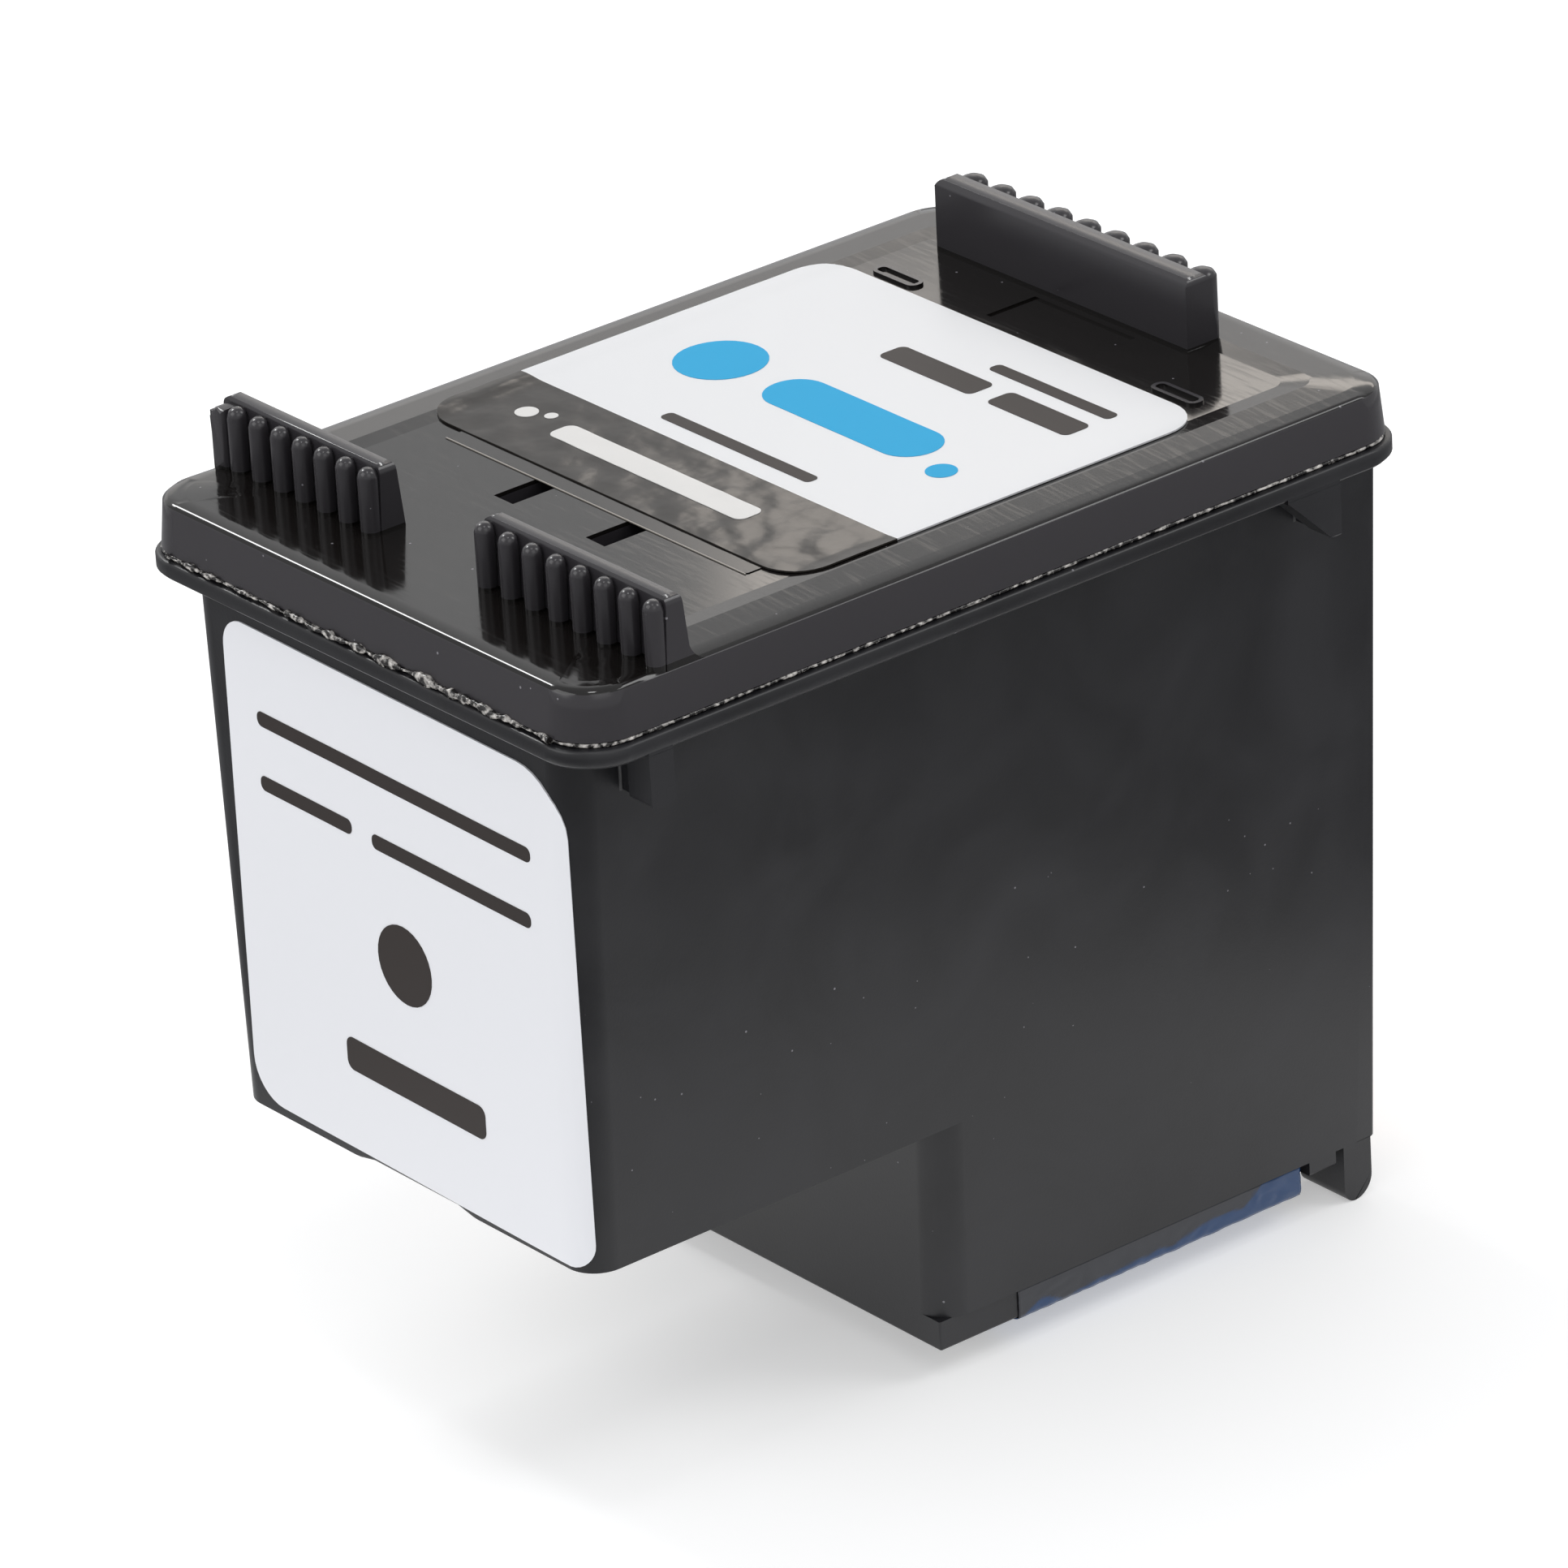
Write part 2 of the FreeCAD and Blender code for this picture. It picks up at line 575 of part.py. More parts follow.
def lid_plate(body):
    """Seat, drafted rim and the soft crown: a low ridge round a flat field."""
    seat = sketch(body, "seat_outline", "XY_Plane", LID_FOOT)
    rounded_rectangle(seat, "-(%s - seam_deep)" % LID_HALF, "%s - seam_deep" % LID_HALF,
                      "-(%s - seam_deep)" % LID_REACH, "%s - seam_deep" % LID_REACH, "lid_round - seam_deep")
    feature(body, "Pad", "seat", seat, "seam_tall")
    foot = sketch(body, "rim_outline", "XY_Plane", "%s + seam_tall" % LID_FOOT)
    rounded_rectangle(foot, "-(%s)" % LID_HALF, LID_HALF, "-(%s)" % LID_REACH, LID_REACH, "lid_round")
    feature(body, "Pad", "rim", foot, "lid_tall", taper="-lid_draft")
    sections = [sketch(body, "crown_base", "XY_Plane", LID_EDGE)]
    rounded_rectangle(sections[0], "-(%s)" % RIM_HALF, RIM_HALF, "-(%s)" % RIM_REACH, RIM_REACH,
                      "lid_round - tan(lid_draft * 1 deg) * lid_tall")
    for letter in "abcd":
        inset = "crown_inset_" + letter
        made = sketch(body, "crown_" + letter, "XY_Plane", "%s + crown_rise_%s" % (LID_EDGE, letter))
        rounded_rectangle(made, "-(%s - %s)" % (RIM_HALF, inset), "%s - %s" % (RIM_HALF, inset),
                          "-(%s - %s)" % (RIM_REACH, inset), "%s - %s" % (RIM_REACH, inset), "crown_round_" + letter)
        sections.append(made)
    loft(body, "AdditiveLoft", "crown", sections)


def grip(body, stem, left, right, face, tall):
    """A finger grip: a tapering wall with bevelled long edges and rounded upper corners."""
    thick, lean, bevel = stem + "_thick", stem + "_lean", stem + "_bevel"
    low = "(%s - crown_rise_c)" % LID_EDGE
    top = "(%s + crown_rise_b + %s)" % (LID_EDGE, tall)
    name = stem if value(left) < 0 else "right_" + stem
    outline = sketch(body, name + "_outline", "YZ_Plane", left)
    front = "(%s + %s)" % (face, lean)
    rear = "(%s + %s_top_thick)" % (front, stem)
    polygon(outline, ((face, low), (front, "%s - %s" % (top, bevel)), ("%s + %s" % (front, bevel), top),
                      ("%s - %s" % (rear, bevel), top), (rear, "%s - %s" % (top, bevel)), ("%s + %s" % (face, thick), low)))
    made = feature(body, "Pad", name, outline, "%s - (%s)" % (right, left))
    level, sides = value(top), (value(left), value(right))

    def upper_corner(edge):
        box = edge.BoundBox
        return box.ZMin > level - NEAR and box.XLength < NEAR and min(abs(box.XMin - side) for side in sides) < NEAR

    round_edges(body, name + "_corners", made, upper_corner, stem + "_end_round")


def grip_ribs(body, name, first, line, radius, dome, tall, pitch, count):
    """A row of upright ribs with stepped round tops along a grip; line is where their axes stand."""
    low = "(%s - crown_rise_c)" % LID_EDGE
    height = "(crown_rise_b + crown_rise_c + %s)" % tall
    steps = (("1", "0"), ("1", "%s - %s" % (height, dome)), ("0.8", "%s - 0.35 * %s" % (height, dome)), ("0.4", height))
    sections = []
    for letter, (share, up) in zip("abcd", steps):
        made = sketch(body, "%s_%s" % (name, letter), "XY_Plane", "%s + %s" % (low, up), shift=(first, line))
        polygon(made, [("%s * %s * cos(%d deg)" % (share, radius, angle), "%s * %s * sin(%d deg)" % (share, radius, angle))
                       for angle in range(0, 360, RIB_FACET)])
        sections.append(made)
    rib = loft(body, "AdditiveLoft", name + "_first", sections)
    repeat(body, name, rib, sections[0], "H_Axis", "%s * (%s - 1)" % (pitch, count), count)


def lid_grips(body):
    """Two grips at the front corners, flush with the lid's sides, and one at the rear."""
    face = "(grip_face + lid_margin - flange_long / 2 + 0.3)"
    outer = "(%s - 0.05)" % RIM_HALF
    grip(body, "grip", "-%s" % outer, "-left_grip_end", face, "grip_tall")
    grip(body, "grip", "right_grip_end", outer, face, "grip_tall")
    post = sketch(body, "left_post_outline", "XY_Plane", LID_EDGE)
    line = "(%s - grip_rib_lead)" % face
    rectangle(post, "-%s" % outer, "-%s + grip_post" % outer, "%s - 0.9 * grip_rib_round" % line, "%s + 0.5" % face)
    feature(body, "Pad", "left_post", post, "grip_tall - grip_rib_round / 2")
    rib_tall = "(grip_tall - 0.1)"
    left_pitch = "((%s - grip_post - left_grip_end - 2.5 * grip_rib_round) / (left_grip_ribs - 1))" % outer
    grip_ribs(body, "left_ribs", "-left_grip_end - grip_rib_round - %s * (left_grip_ribs - 1)" % left_pitch,
              line, "grip_rib_round", "grip_rib_dome", rib_tall, left_pitch, "left_grip_ribs")
    right_pitch = "(%s - right_grip_end - 2 * grip_rib_round) / (right_grip_ribs - 1)" % outer
    grip_ribs(body, "right_ribs", "right_grip_end + grip_rib_round", line, "grip_rib_round", "grip_rib_dome",
              rib_tall, right_pitch, "right_grip_ribs")
    rear = "(flange_long / 2 - rear_grip_face)"
    grip(body, "rear_grip", REAR_GRIP_LEFT, REAR_GRIP_RIGHT, rear, "rear_grip_tall")
    rear_pitch = "(%s - %s - 2.3 * rear_rib_round) / (rear_grip_ribs - 1)" % (REAR_GRIP_RIGHT, REAR_GRIP_LEFT)
    grip_ribs(body, "rear_ribs", "%s + 1.1 * rear_rib_round" % REAR_GRIP_LEFT, "%s + rear_grip_thick - 0.2" % rear,
              "rear_rib_round", "rear_rib_dome", "(rear_grip_tall - 0.08)", rear_pitch, "rear_grip_ribs")


def lid_cuts(body):
    """Two sloped slots, the vent hole with its groove, the shallow panel and the two raised marks."""
    front = "(slot_front - flange_long / 2)"
    for side, sign in (("right", ""), ("left", "-")):
        slot = sketch(body, side + "_slot_outline", "YZ_Plane", "%s(slot_half_pitch)" % sign)
        polygon(slot, ((front, "%s + 1" % FIELD), (front, "%s - 0.3 * slot_deep" % FIELD),
                       ("%s + 0.7 * slot_long" % front, "%s - slot_deep" % FIELD),
                       ("%s + slot_long" % front, "%s - slot_deep" % FIELD), ("%s + slot_long" % front, "%s + 1" % FIELD)))
        feature(body, "Pocket", side + "_slot", slot, "slot_wide", middle=True)
    hole = sketch(body, "vent_outline", "XY_Plane", FIELD)
    spot = "(vent_rear - flange_long / 2)"
    hole.addGeometry(Part.Circle(FreeCAD.Vector(0, value(spot), 0), FreeCAD.Vector(0, 0, 1), value("vent_round")), False)
    pin(hole, "DistanceX", 0, 3, "0")
    pin(hole, "DistanceY", 0, 3, spot)
    index = hole.addConstraint(Sketcher.Constraint("Radius", 0, value("vent_round")))
    hole.setExpression("Constraints[%d]" % index, sized("vent_round"))
    feature(body, "Pocket", "vent", hole, "%s - %s" % (FIELD, LID_FOOT))
    groove = sketch(body, "groove_outline", "XY_Plane", FIELD)
    rectangle(groove, "-vent_groove / 2", "vent_groove / 2", "seal_front + 1 - flange_long / 2", spot)
    feature(body, "Pocket", "vent_groove_cut", groove, "vent_deep")
    panel = sketch(body, "panel_outline", "XY_Plane", FIELD)
    rear = "(flange_long / 2 - panel_rear)"
    rectangle(panel, "-panel_wide / 2", "panel_wide / 2", "%s - panel_long" % rear, rear)
    feature(body, "Pocket", "panel", panel, "panel_deep")
    marks = sketch(body, "marks_outline", "XY_Plane", FIELD)
    middle = "(flange_long / 2 - mark_rear)"
    for sign in ("", "-"):
        for inset in ("0", "mark_line"):
            rounded_rectangle(marks, "%s(mark_half_pitch) - mark_long / 2 + %s" % (sign, inset),
                              "%s(mark_half_pitch) + mark_long / 2 - %s" % (sign, inset),
                              "%s - mark_wide / 2 + %s" % (middle, inset), "%s + mark_wide / 2 - %s" % (middle, inset),
                              "0.45 * mark_wide - %s" % inset)
    feature(body, "Pad", "marks", marks, "mark_tall")


def lid_underside(body):
    """The lip that drops into the chamber and the ribs that keep the foam down."""
    inset = "(wall_thick + lip_clearance)"
    half = "(%s - %s)" % (wall_half("flange_base"), inset)
    front = "(%s + %s)" % (WALL_FRONT, inset)
    rear = "(%s - %s)" % (wall_rear("flange_base"), inset)
    lip = sketch(body, "lip_outline", "XY_Plane", LID_FOOT)
    for step in ("0", "lip_thick"):
        rounded_rectangle(lip, "-%s + %s" % (half, step), "%s - %s" % (half, step),
                          "%s + %s" % (front, step), "%s - %s" % (rear, step), "lid_round - %s - 0.6" % step)
    feature(body, "Pad", "lip", lip, "lip_tall", reverse=True)
    ribs = sketch(body, "hold_rib_outline", "XY_Plane", LID_FOOT)
    for sign in ("", "-"):
        middle = "(%s(hold_rib_pitch / 2))" % sign
        rectangle(ribs, "%s - hold_rib_thick / 2" % middle, "%s + hold_rib_thick / 2" % middle,
                  "%s + 2 * lip_thick" % front, "%s - 2 * lip_thick" % rear)
    feature(body, "Pad", "hold_ribs", ribs, "%s - %s - foam_tall - foam_top_gap" % (LID_FOOT, FOAM_BASE), reverse=True)


def make_lid():
    body = new_body("lid")
    lid_plate(body)
    lid_underside(body)
    lid_cuts(body)
    lid_grips(body)
    return body


def make_foam_block():
    """The ink-soaked block; its sides follow the chamber's draft."""
    body = new_body("foam_block")
    sections = []
    for name, height in (("foam_foot", FOAM_BASE), ("foam_head", "%s + foam_tall" % FOAM_BASE)):
        made = sketch(body, name, "XY_Plane", height)
        half = "(%s - wall_thick - foam_clearance)" % wall_half(height)
        rounded_rectangle(made, "-%s" % half, half, "%s + wall_thick + foam_clearance" % WALL_FRONT,
                          "%s - wall_thick - foam_clearance" % wall_rear(height), "wall_round")
        sections.append(made)
    loft(body, "AdditiveLoft", "block", sections)
    return body


def plate(label, low, thick, left, right, front, rear, turn=None):
    """A flat piece with square or rounded corners, lying level."""
    body = new_body(label)
    made = sketch(body, label + "_outline", "XY_Plane", low)
    if turn:
        rounded_rectangle(made, left, right, front, rear, turn)
    else:
        rectangle(made, left, right, front, rear)
    feature(body, "Pad", label + "_pad", made, thick)
    return body


def make_filter_screen():
    across = "pipe_wide / 2 - filter_ledge"
    along = "(pipe_long / 2 - filter_ledge)"
    return plate("filter_screen", "%s - filter_thick" % FOAM_BASE, "filter_thick",
                 "-(%s)" % across, across, "%s - %s" % (DIE_MIDDLE, along), "%s + %s" % (DIE_MIDDLE, along))


def make_print_head():
    """The die, its nozzle plate, the glue that beds it and the two beads over its ends."""
    front, rear = "%s - die_long / 2" % DIE_MIDDLE, "%s + die_long / 2" % DIE_MIDDLE
    plate("printhead_die", "tape_thick + plate_thick", "die_thick", "-die_wide / 2", "die_wide / 2", front, rear)
    plate("nozzle_plate", "tape_thick", "plate_thick", "-die_wide / 2", "die_wide / 2",
          "%s + bead_long / 2" % front, "%s - bead_long / 2" % rear)
    glue = plate("die_adhesive", DIE_TOP, "glue_thick", "-die_wide / 2", "die_wide / 2", front, rear)
    window = sketch(glue, "glue_window_outline", "XY_Plane", DIE_TOP)
    along = "(pipe_long / 2 - 2 * pipe_wall)"
    rectangle(window, "-ink_slot / 2", "ink_slot / 2", "%s - %s" % (DIE_MIDDLE, along), "%s + %s" % (DIE_MIDDLE, along))
    feature(glue, "Pocket", "glue_window", window, "glue_thick", reverse=True)
    beads = new_body("encapsulant_beads")
    outline = sketch(beads, "beads_outline", "XY_Plane", "tape_thick")
    across = "die_wide / 2"
    rectangle(outline, "-%s" % across, across, "%s - bead_long" % front, front)
    rectangle(outline, "-%s" % across, across, rear, "%s + bead_long" % rear)
    feature(beads, "Pad", "beads", outline, "bead_thick")


def make_flex_circuit():
    """The flexible circuit: down the rear wall, round the bend and along the land, with a window for the die."""
    body = new_body("flex_circuit")
    low = "tape_thick"
    path = sketch(body, "band_outline", "YZ_Plane")
    polygon(path, ((FLEX_FRONT, low), ("%s + flex_thick" % wall_rear(low), low),
                   ("%s + flex_thick" % wall_rear("flex_top"), "flex_top"), (wall_rear("flex_top"), "flex_top"),
                   (wall_rear(LAND_BOTTOM), LAND_BOTTOM), (FLEX_FRONT, LAND_BOTTOM)))
    band = feature(body, "Pad", "band", path, FLEX_WIDE, middle=True)
    for name, place, height, radius in (("bend_inside", wall_rear(LAND_BOTTOM), LAND_BOTTOM, "land_bend"),
                                        ("bend_outside", "%s + flex_thick" % wall_rear(low), low, "land_bend + flex_thick")):
        spot, level = value(place), value(height)

        def bend_edge(edge):
            box = edge.BoundBox
            return box.XLength > 1 and abs(box.YMin - spot) < NEAR and abs(box.ZMin - level) < NEAR and box.ZLength < NEAR

        band = round_edges(body, name, band, bend_edge, radius)
    head = sketch(body, "head_outline", "YZ_Plane")
    polygon(head, ((wall_rear("flex_head_bottom"), "flex_head_bottom"),
                   ("%s + flex_thick" % wall_rear("flex_head_bottom"), "flex_head_bottom"),
                   ("%s + flex_thick" % wall_rear("flex_top"), "flex_top"), (wall_rear("flex_top"), "flex_top")))
    feature(body, "Pad", "head", head, FLEX_HEAD_WIDE, middle=True)
    window = sketch(body, "window_outline", "XY_Plane", low)
    rectangle(window, "-(die_wide / 2 + die_gap)", "die_wide / 2 + die_gap",
              "%s - (die_long / 2 + bead_long)" % DIE_MIDDLE, "%s + die_long / 2 + bead_long" % DIE_MIDDLE)
    feature(body, "Pocket", "window", window, "2 * flex_thick", reverse=True)
    return body


def make_contact_pads():
    """Gold pads on the circuit's head, in two groups, standing on the drafted rear wall."""
    rows, columns = int(value("pad_rows")), int(value("pad_columns"))
    boxes = []
    for row in range(rows):
        for column in range(columns):
            for sign in (1, -1):
                box = doc.addObject("Part::Box", "pad")
                box.setExpression("Length", sized("pad_wide"))
                box.setExpression("Width", sized("pad_thick"))
                box.setExpression("Height", sized("pad_tall"))
                across = "%d * (pad_first_across + %d * pad_pitch_across - pad_pitch_across) - pad_wide / 2" % (sign, column)
                stagger = " + pad_pitch_up / 2" if column % 2 else ""
                box.setExpression("Placement.Base.x", sized(across))
                box.setExpression("Placement.Base.z", sized("1 + %d * pad_pitch_up%s" % (row, stagger)))
                boxes.append(box)
    group = doc.addObject("Part::Compound", "contact_pads")
    group.Links = boxes
    group.Label = "contact_pads"
    group.Placement = FreeCAD.Placement(FreeCAD.Vector(), FreeCAD.Rotation(FreeCAD.Vector(1, 0, 0), -value("rear_draft")))
    group.setExpression("Placement.Base.y", sized("%s + flex_thick / cos(rear_draft * 1 deg)" % wall_rear("flex_head_bottom")))
    group.setExpression("Placement.Base.z", sized("flex_head_bottom"))
    return group


def make_nozzle_tape():
    """The pull-off film: flat under the land, then up over the base block to just under the ledge."""
    body = new_body("nozzle_tape")
    made = sketch(body, "tape_outline", "XZ_Plane", "-%s" % TAPE_REAR)
    base = "(%s - base_inset)" % wall_half("snout_bottom")
    top = "snout_bottom - tape_edge_gap"
    right = ((base, top), (base, "base_bottom"), ("land_wide / 2 + 0.3", "tape_thick"))
    outside = (("land_wide / 2 + 0.35", "0"), ("%s + tape_thick" % base, "base_bottom - tape_thick / 2"),
               ("%s + tape_thick" % base, top))
    corners = list(right)
    corners += [("-(%s)" % across, up) for across, up in reversed(right)]
    corners += [("-(%s)" % across, up) for across, up in reversed(outside)]
    corners += list(outside)
    polygon(made, corners)
    feature(body, "Pad", "film", made, "tape_long")
    return body


def make_seam_adhesive():
    """The bead squeezed into the groove between lid and flange."""
    body = new_body("seam_adhesive")
    made = sketch(body, "seam_outline", "XY_Plane", LID_FOOT)
    for inset in ("0.1", "seam_deep"):
        rounded_rectangle(made, "-(%s - %s)" % (LID_HALF, inset), "%s - %s" % (LID_HALF, inset),
                          "-(%s - %s)" % (LID_REACH, inset), "%s - %s" % (LID_REACH, inset), "lid_round - %s" % inset)
    feature(body, "Pad", "seam", made, "seam_tall")
    return body


def make_top_films():
    """The label on the lid and the seal film that shows in front of it."""
    middle = "top_label_shift"
    rear = "(flange_long / 2 - top_label_rear)"
    crest = "(%s + crown_rise_c)" % LID_EDGE
    half = "(flange_wide / 2 - top_label_margin)"
    plate("top_label", crest, "label_thick", "%s - %s" % (middle, half), "%s + %s" % (middle, half),
          "%s - top_label_long" % rear, rear, "top_label_round")
    front = "(seal_front - flange_long / 2)"
    plate("vent_seal_film", FIELD, "seal_thick", "-seal_wide / 2", "seal_wide / 2", front, "%s + seal_tuck" % front)


def label_section(height):
    """Closed outline of the end label at a height: flat across the front, then round the right corner."""
    turn = math.radians(value("end_label_wrap_angle"))
    inner = value("wall_round")
    outer = inner + value("label_thick")
    front = value(WALL_FRONT)
    middle = FreeCAD.Vector(value(wall_half(str(height))) - inner, front + inner, height)

    def around(radius, angle):
        return middle + FreeCAD.Vector(radius * math.sin(angle), -radius * math.cos(angle), 0)

    left = value("end_label_left")
    corner_out = FreeCAD.Vector(left, front - value("label_thick"), height)
    corner_in = FreeCAD.Vector(left, front, height)
    edges = (
        Part.makeLine(corner_out, around(outer, 0)),
        Part.Arc(around(outer, 0), around(outer, turn / 2), around(outer, turn)).toShape(),
        Part.makeLine(around(outer, turn), around(inner, turn)),
        Part.Arc(around(inner, turn), around(inner, turn / 2), around(inner, 0)).toShape(),
        Part.makeLine(around(inner, 0), corner_in),
        Part.makeLine(corner_in, corner_out),
    )
    return Part.Wire(edges)


def make_end_label():
    """The front label: a thin skin that follows the wall, trimmed to rounded corners."""
    top = value("flange_base - end_label_drop")
    low = top - value("end_label_tall")
    skin = Part.makeLoft([label_section(low), label_section(top)], True, True)
    left = value("end_label_left")
    deep = 2 * value("wall_round") + OVERRUN
    right = max(vertex.X for vertex in skin.Vertexes)
    prism = Part.makeBox(right - left, deep, top - low, FreeCAD.Vector(left, value(WALL_FRONT) - OVERRUN, low))
    corners = [edge for edge in prism.Edges if edge.BoundBox.YLength > NEAR]
    prism = prism.makeFillet(value("end_label_round"), corners)
    made = doc.addObject("Part::Feature", "end_label")
    made.Label = "end_label"
    made.Shape = skin.common(prism)
    return made


def check(nodes):
    """Stops with a plain message where any object failed or any piece is empty."""
    for item in doc.Objects:
        if "Invalid" in item.State or "Error" in item.State:
            raise RuntimeError("%s failed: %s" % (item.Label, item.State))
    for node in nodes:
        if node.Shape.isNull() or not node.Shape.isValid() or not node.Shape.Solids:
            raise RuntimeError("%s has no valid shape" % node.Label)


def main():
    make_pen_body()
    make_lid()
    make_foam_block()
    make_filter_screen()
    make_print_head()
    make_flex_circuit()
    make_contact_pads()
    make_nozzle_tape()
    make_seam_adhesive()
    make_top_films()
    make_end_label()
    doc.recompute()
    kinds = ("PartDesign::Body", "Part::Compound", "Part::Feature")
    nodes = [item for item in doc.Objects if item.TypeId in kinds]
    check(nodes)
    os.makedirs("parts", exist_ok=True)
    for node in nodes:
        node.Shape.exportStep("parts/%s.step" % node.Label)
        print("%-20s %2d solids %9.2f mm3" % (node.Label, len(node.Shape.Solids), node.Shape.Volume))


main()
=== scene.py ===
import math

import bmesh
import bpy
from mathutils import Matrix, Vector, geometry, noise


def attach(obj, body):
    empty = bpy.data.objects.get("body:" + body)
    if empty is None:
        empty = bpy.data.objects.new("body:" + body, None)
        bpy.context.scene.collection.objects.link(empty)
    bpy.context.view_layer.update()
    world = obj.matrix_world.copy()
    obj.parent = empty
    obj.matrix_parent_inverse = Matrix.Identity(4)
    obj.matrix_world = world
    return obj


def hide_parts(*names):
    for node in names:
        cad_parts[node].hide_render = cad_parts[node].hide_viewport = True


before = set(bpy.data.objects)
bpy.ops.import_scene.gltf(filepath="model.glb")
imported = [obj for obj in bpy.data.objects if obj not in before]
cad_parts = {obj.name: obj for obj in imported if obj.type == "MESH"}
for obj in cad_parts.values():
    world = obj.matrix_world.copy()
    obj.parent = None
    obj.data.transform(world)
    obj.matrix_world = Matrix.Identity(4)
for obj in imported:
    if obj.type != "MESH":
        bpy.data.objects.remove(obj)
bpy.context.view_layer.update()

MM = 0.001

# Places are in the part's own frame, in millimetres.
# The lid: half its size at the edge, the edge's height, and its crown as distance inwards and rise
LID_HALF_X, LID_HALF_Y = 17.18, 25.48
LID_EDGE_Z = 45.35
CROWN_STEPS = ((0.0, 0.0), (0.3, 0.19), (1.05, 0.25), (2.75, 0.35), (3.85, 0.27))
# In front of CROWN_CUT_Y the ridge fades out: the rises that its three steps take at the front, and how
# near to a step's rise a point has to lie to belong to it
CROWN_CUT_Y = -20.2
FADED_RISES = (0.25, 0.262, 0.27)
STEP_WITHIN = 0.008
# Rises between which a face belongs to the crown, and the height over which its creases stay sharp
CROWN_BAND = (0.1, 0.4)
CREASES_ABOVE_Z = LID_EDGE_Z + 0.21
# The lid is polished between these heights and satin above and below them
POLISHED_FROM_Z, POLISHED_TO_Z = 45.4, 45.76

# The body's walls, which lean inwards below their top, and the rear feet
WALL_FRONT_Y, WALL_TOP_Z, WALL_HALF_TOP, WALL_ROUND = -24.85, 41.8, 14.8, 1.7
REAR_TOP_Y = 25.95
SIDE_DRAFT, REAR_DRAFT = math.radians(1.66), math.radians(1.0)
REAR_CORNER, TIGHT_CORNER = 1.0, 0.5
FEET_TOP_Z, FOOT_REACH, FOOT_DRAWN_IN = 3.2, 1.25, 0.45
# How far a point may lie from a place and still count as being there
NEARLY = 0.012

# The base block, and the tape that runs down its right side, under its land and up its left side: its
# path, its thickness, how far it stands off everywhere, its lowest height, and its mesh
SNOUT_HALF, LAND_HALF = 13.43, 9.3
TAPE_SPAN_Y, TAPE_TOP_Z, TAPE_BEND_Z, TAPE_LOW_Z = (1.6, 20.2), 3.1, 1.6, 0.1
TAPE_THICK, TAPE_STANDS, TAPE_LOWEST = 0.05, 0.02, 0.012
TAPE_ROWS, TAPE_COLUMNS = 260, 150

# Sheets: the thickness of label and seal film, the heights between which print lies on a label, and the
# glue under the top label
LABEL_THICK, SEAL_THICK = 0.09, 0.05
PRINT_LOW, PRINT_HIGH = 0.085, 0.115
GLUE_UNDER_LABEL = 0.03

# The line of squeezed-out plastic between lid and flange, and the torn flakes on its front, which stay
# behind FLASH_LIMIT_Y
SEAM_HALF_X, SEAM_HALF_Y, SEAM_ROUND, SEAM_Z, SEAM_PITCH = 17.33, 25.63, 2.7, 42.92, 0.16
SEAM_FRONT_Y, FLASH_Y, FLASH_Z, FLASH_LIMIT_Y = -25.6, -25.8, 42.98, -25.985

# Angles at which edges are shaded sharp
SHARP_ABOVE = math.radians(53)
CREASE_FROM, CREASE_TO = math.radians(1.2), math.radians(15)
SHEET_SHARP, PRISM_SHARP = math.radians(40), math.radians(30)
NEVER_SHARP = 2 * math.pi
# Faces within this angle are one plane, and points within this distance, in metres, are one point
FLAT_WITHIN = math.radians(0.3)
SAME_SPOT = 0.002 * MM

# The photograph's camera: turn, tip and roll in radians, place in millimetres, focal length in pixels
VIEW_YAW, VIEW_PITCH, VIEW_ROLL = 0.9096, 0.4434, 0.0602
CAMERA_SPOT = (395.65, -308.42, 265.18)
FOCAL_PIXELS, FRAME_PIXELS, SENSOR_MM = 13908.5, 1932, 36

# Colours of the finishes that blend two, and of the light
BODY_DEEP, BODY_SMEARED = "#101013", "#1f1f22"
LID_DEEP, LID_SATIN = "#131110", "#2f2d30"
DUST_PALE = "#77757a"
TAPE_STUCK, TAPE_FREE = "#24262d", "#0c3763"
# The weld flash: its own black, and a pale colour painted over it as glints
FLASH_BLACK, FLASH_PAINTED_GLINT = "#171514", "#cdc9c4"
WHITE, WARM_WHITE, SKY_WHITE = "#ffffff", "#fff4e8", "#f7f8fa"


def hex_colour(code):
    """An sRGB hex colour as linear red, green, blue and full alpha."""
    parts = [int(code[i:i + 2], 16) / 255 for i in (1, 3, 5)]
    return tuple(c / 12.92 if c <= 0.04045 else ((c + 0.055) / 1.055) ** 2.4 for c in parts) + (1.0,)


def add_node(tree, kind, inputs=None, **settings):
    """Adds a node, sets its properties, then sets or links each named or numbered input."""
    made = tree.nodes.new(kind)
    for name, value in settings.items():
        setattr(made, name, value)
    for key, value in (inputs or {}).items():
        if isinstance(value, bpy.types.NodeSocket):
            tree.links.new(value, made.inputs[key])
        else:
            made.inputs[key].default_value = value
    return made


def new_material(name):
    """An empty node material, its tree, and the object's own coordinates."""
    material = bpy.data.materials.new(name)
    material.use_nodes = True
    tree = material.node_tree
    tree.nodes.clear()
    return material, tree, add_node(tree, "ShaderNodeTexCoord").outputs["Object"]


def close_material(tree, inputs):
    """Joins a shader with these inputs to the material's output."""
    shader = add_node(tree, "ShaderNodeBsdfPrincipled", inputs)
    add_node(tree, "ShaderNodeOutputMaterial", {"Surface": shader.outputs[0]})


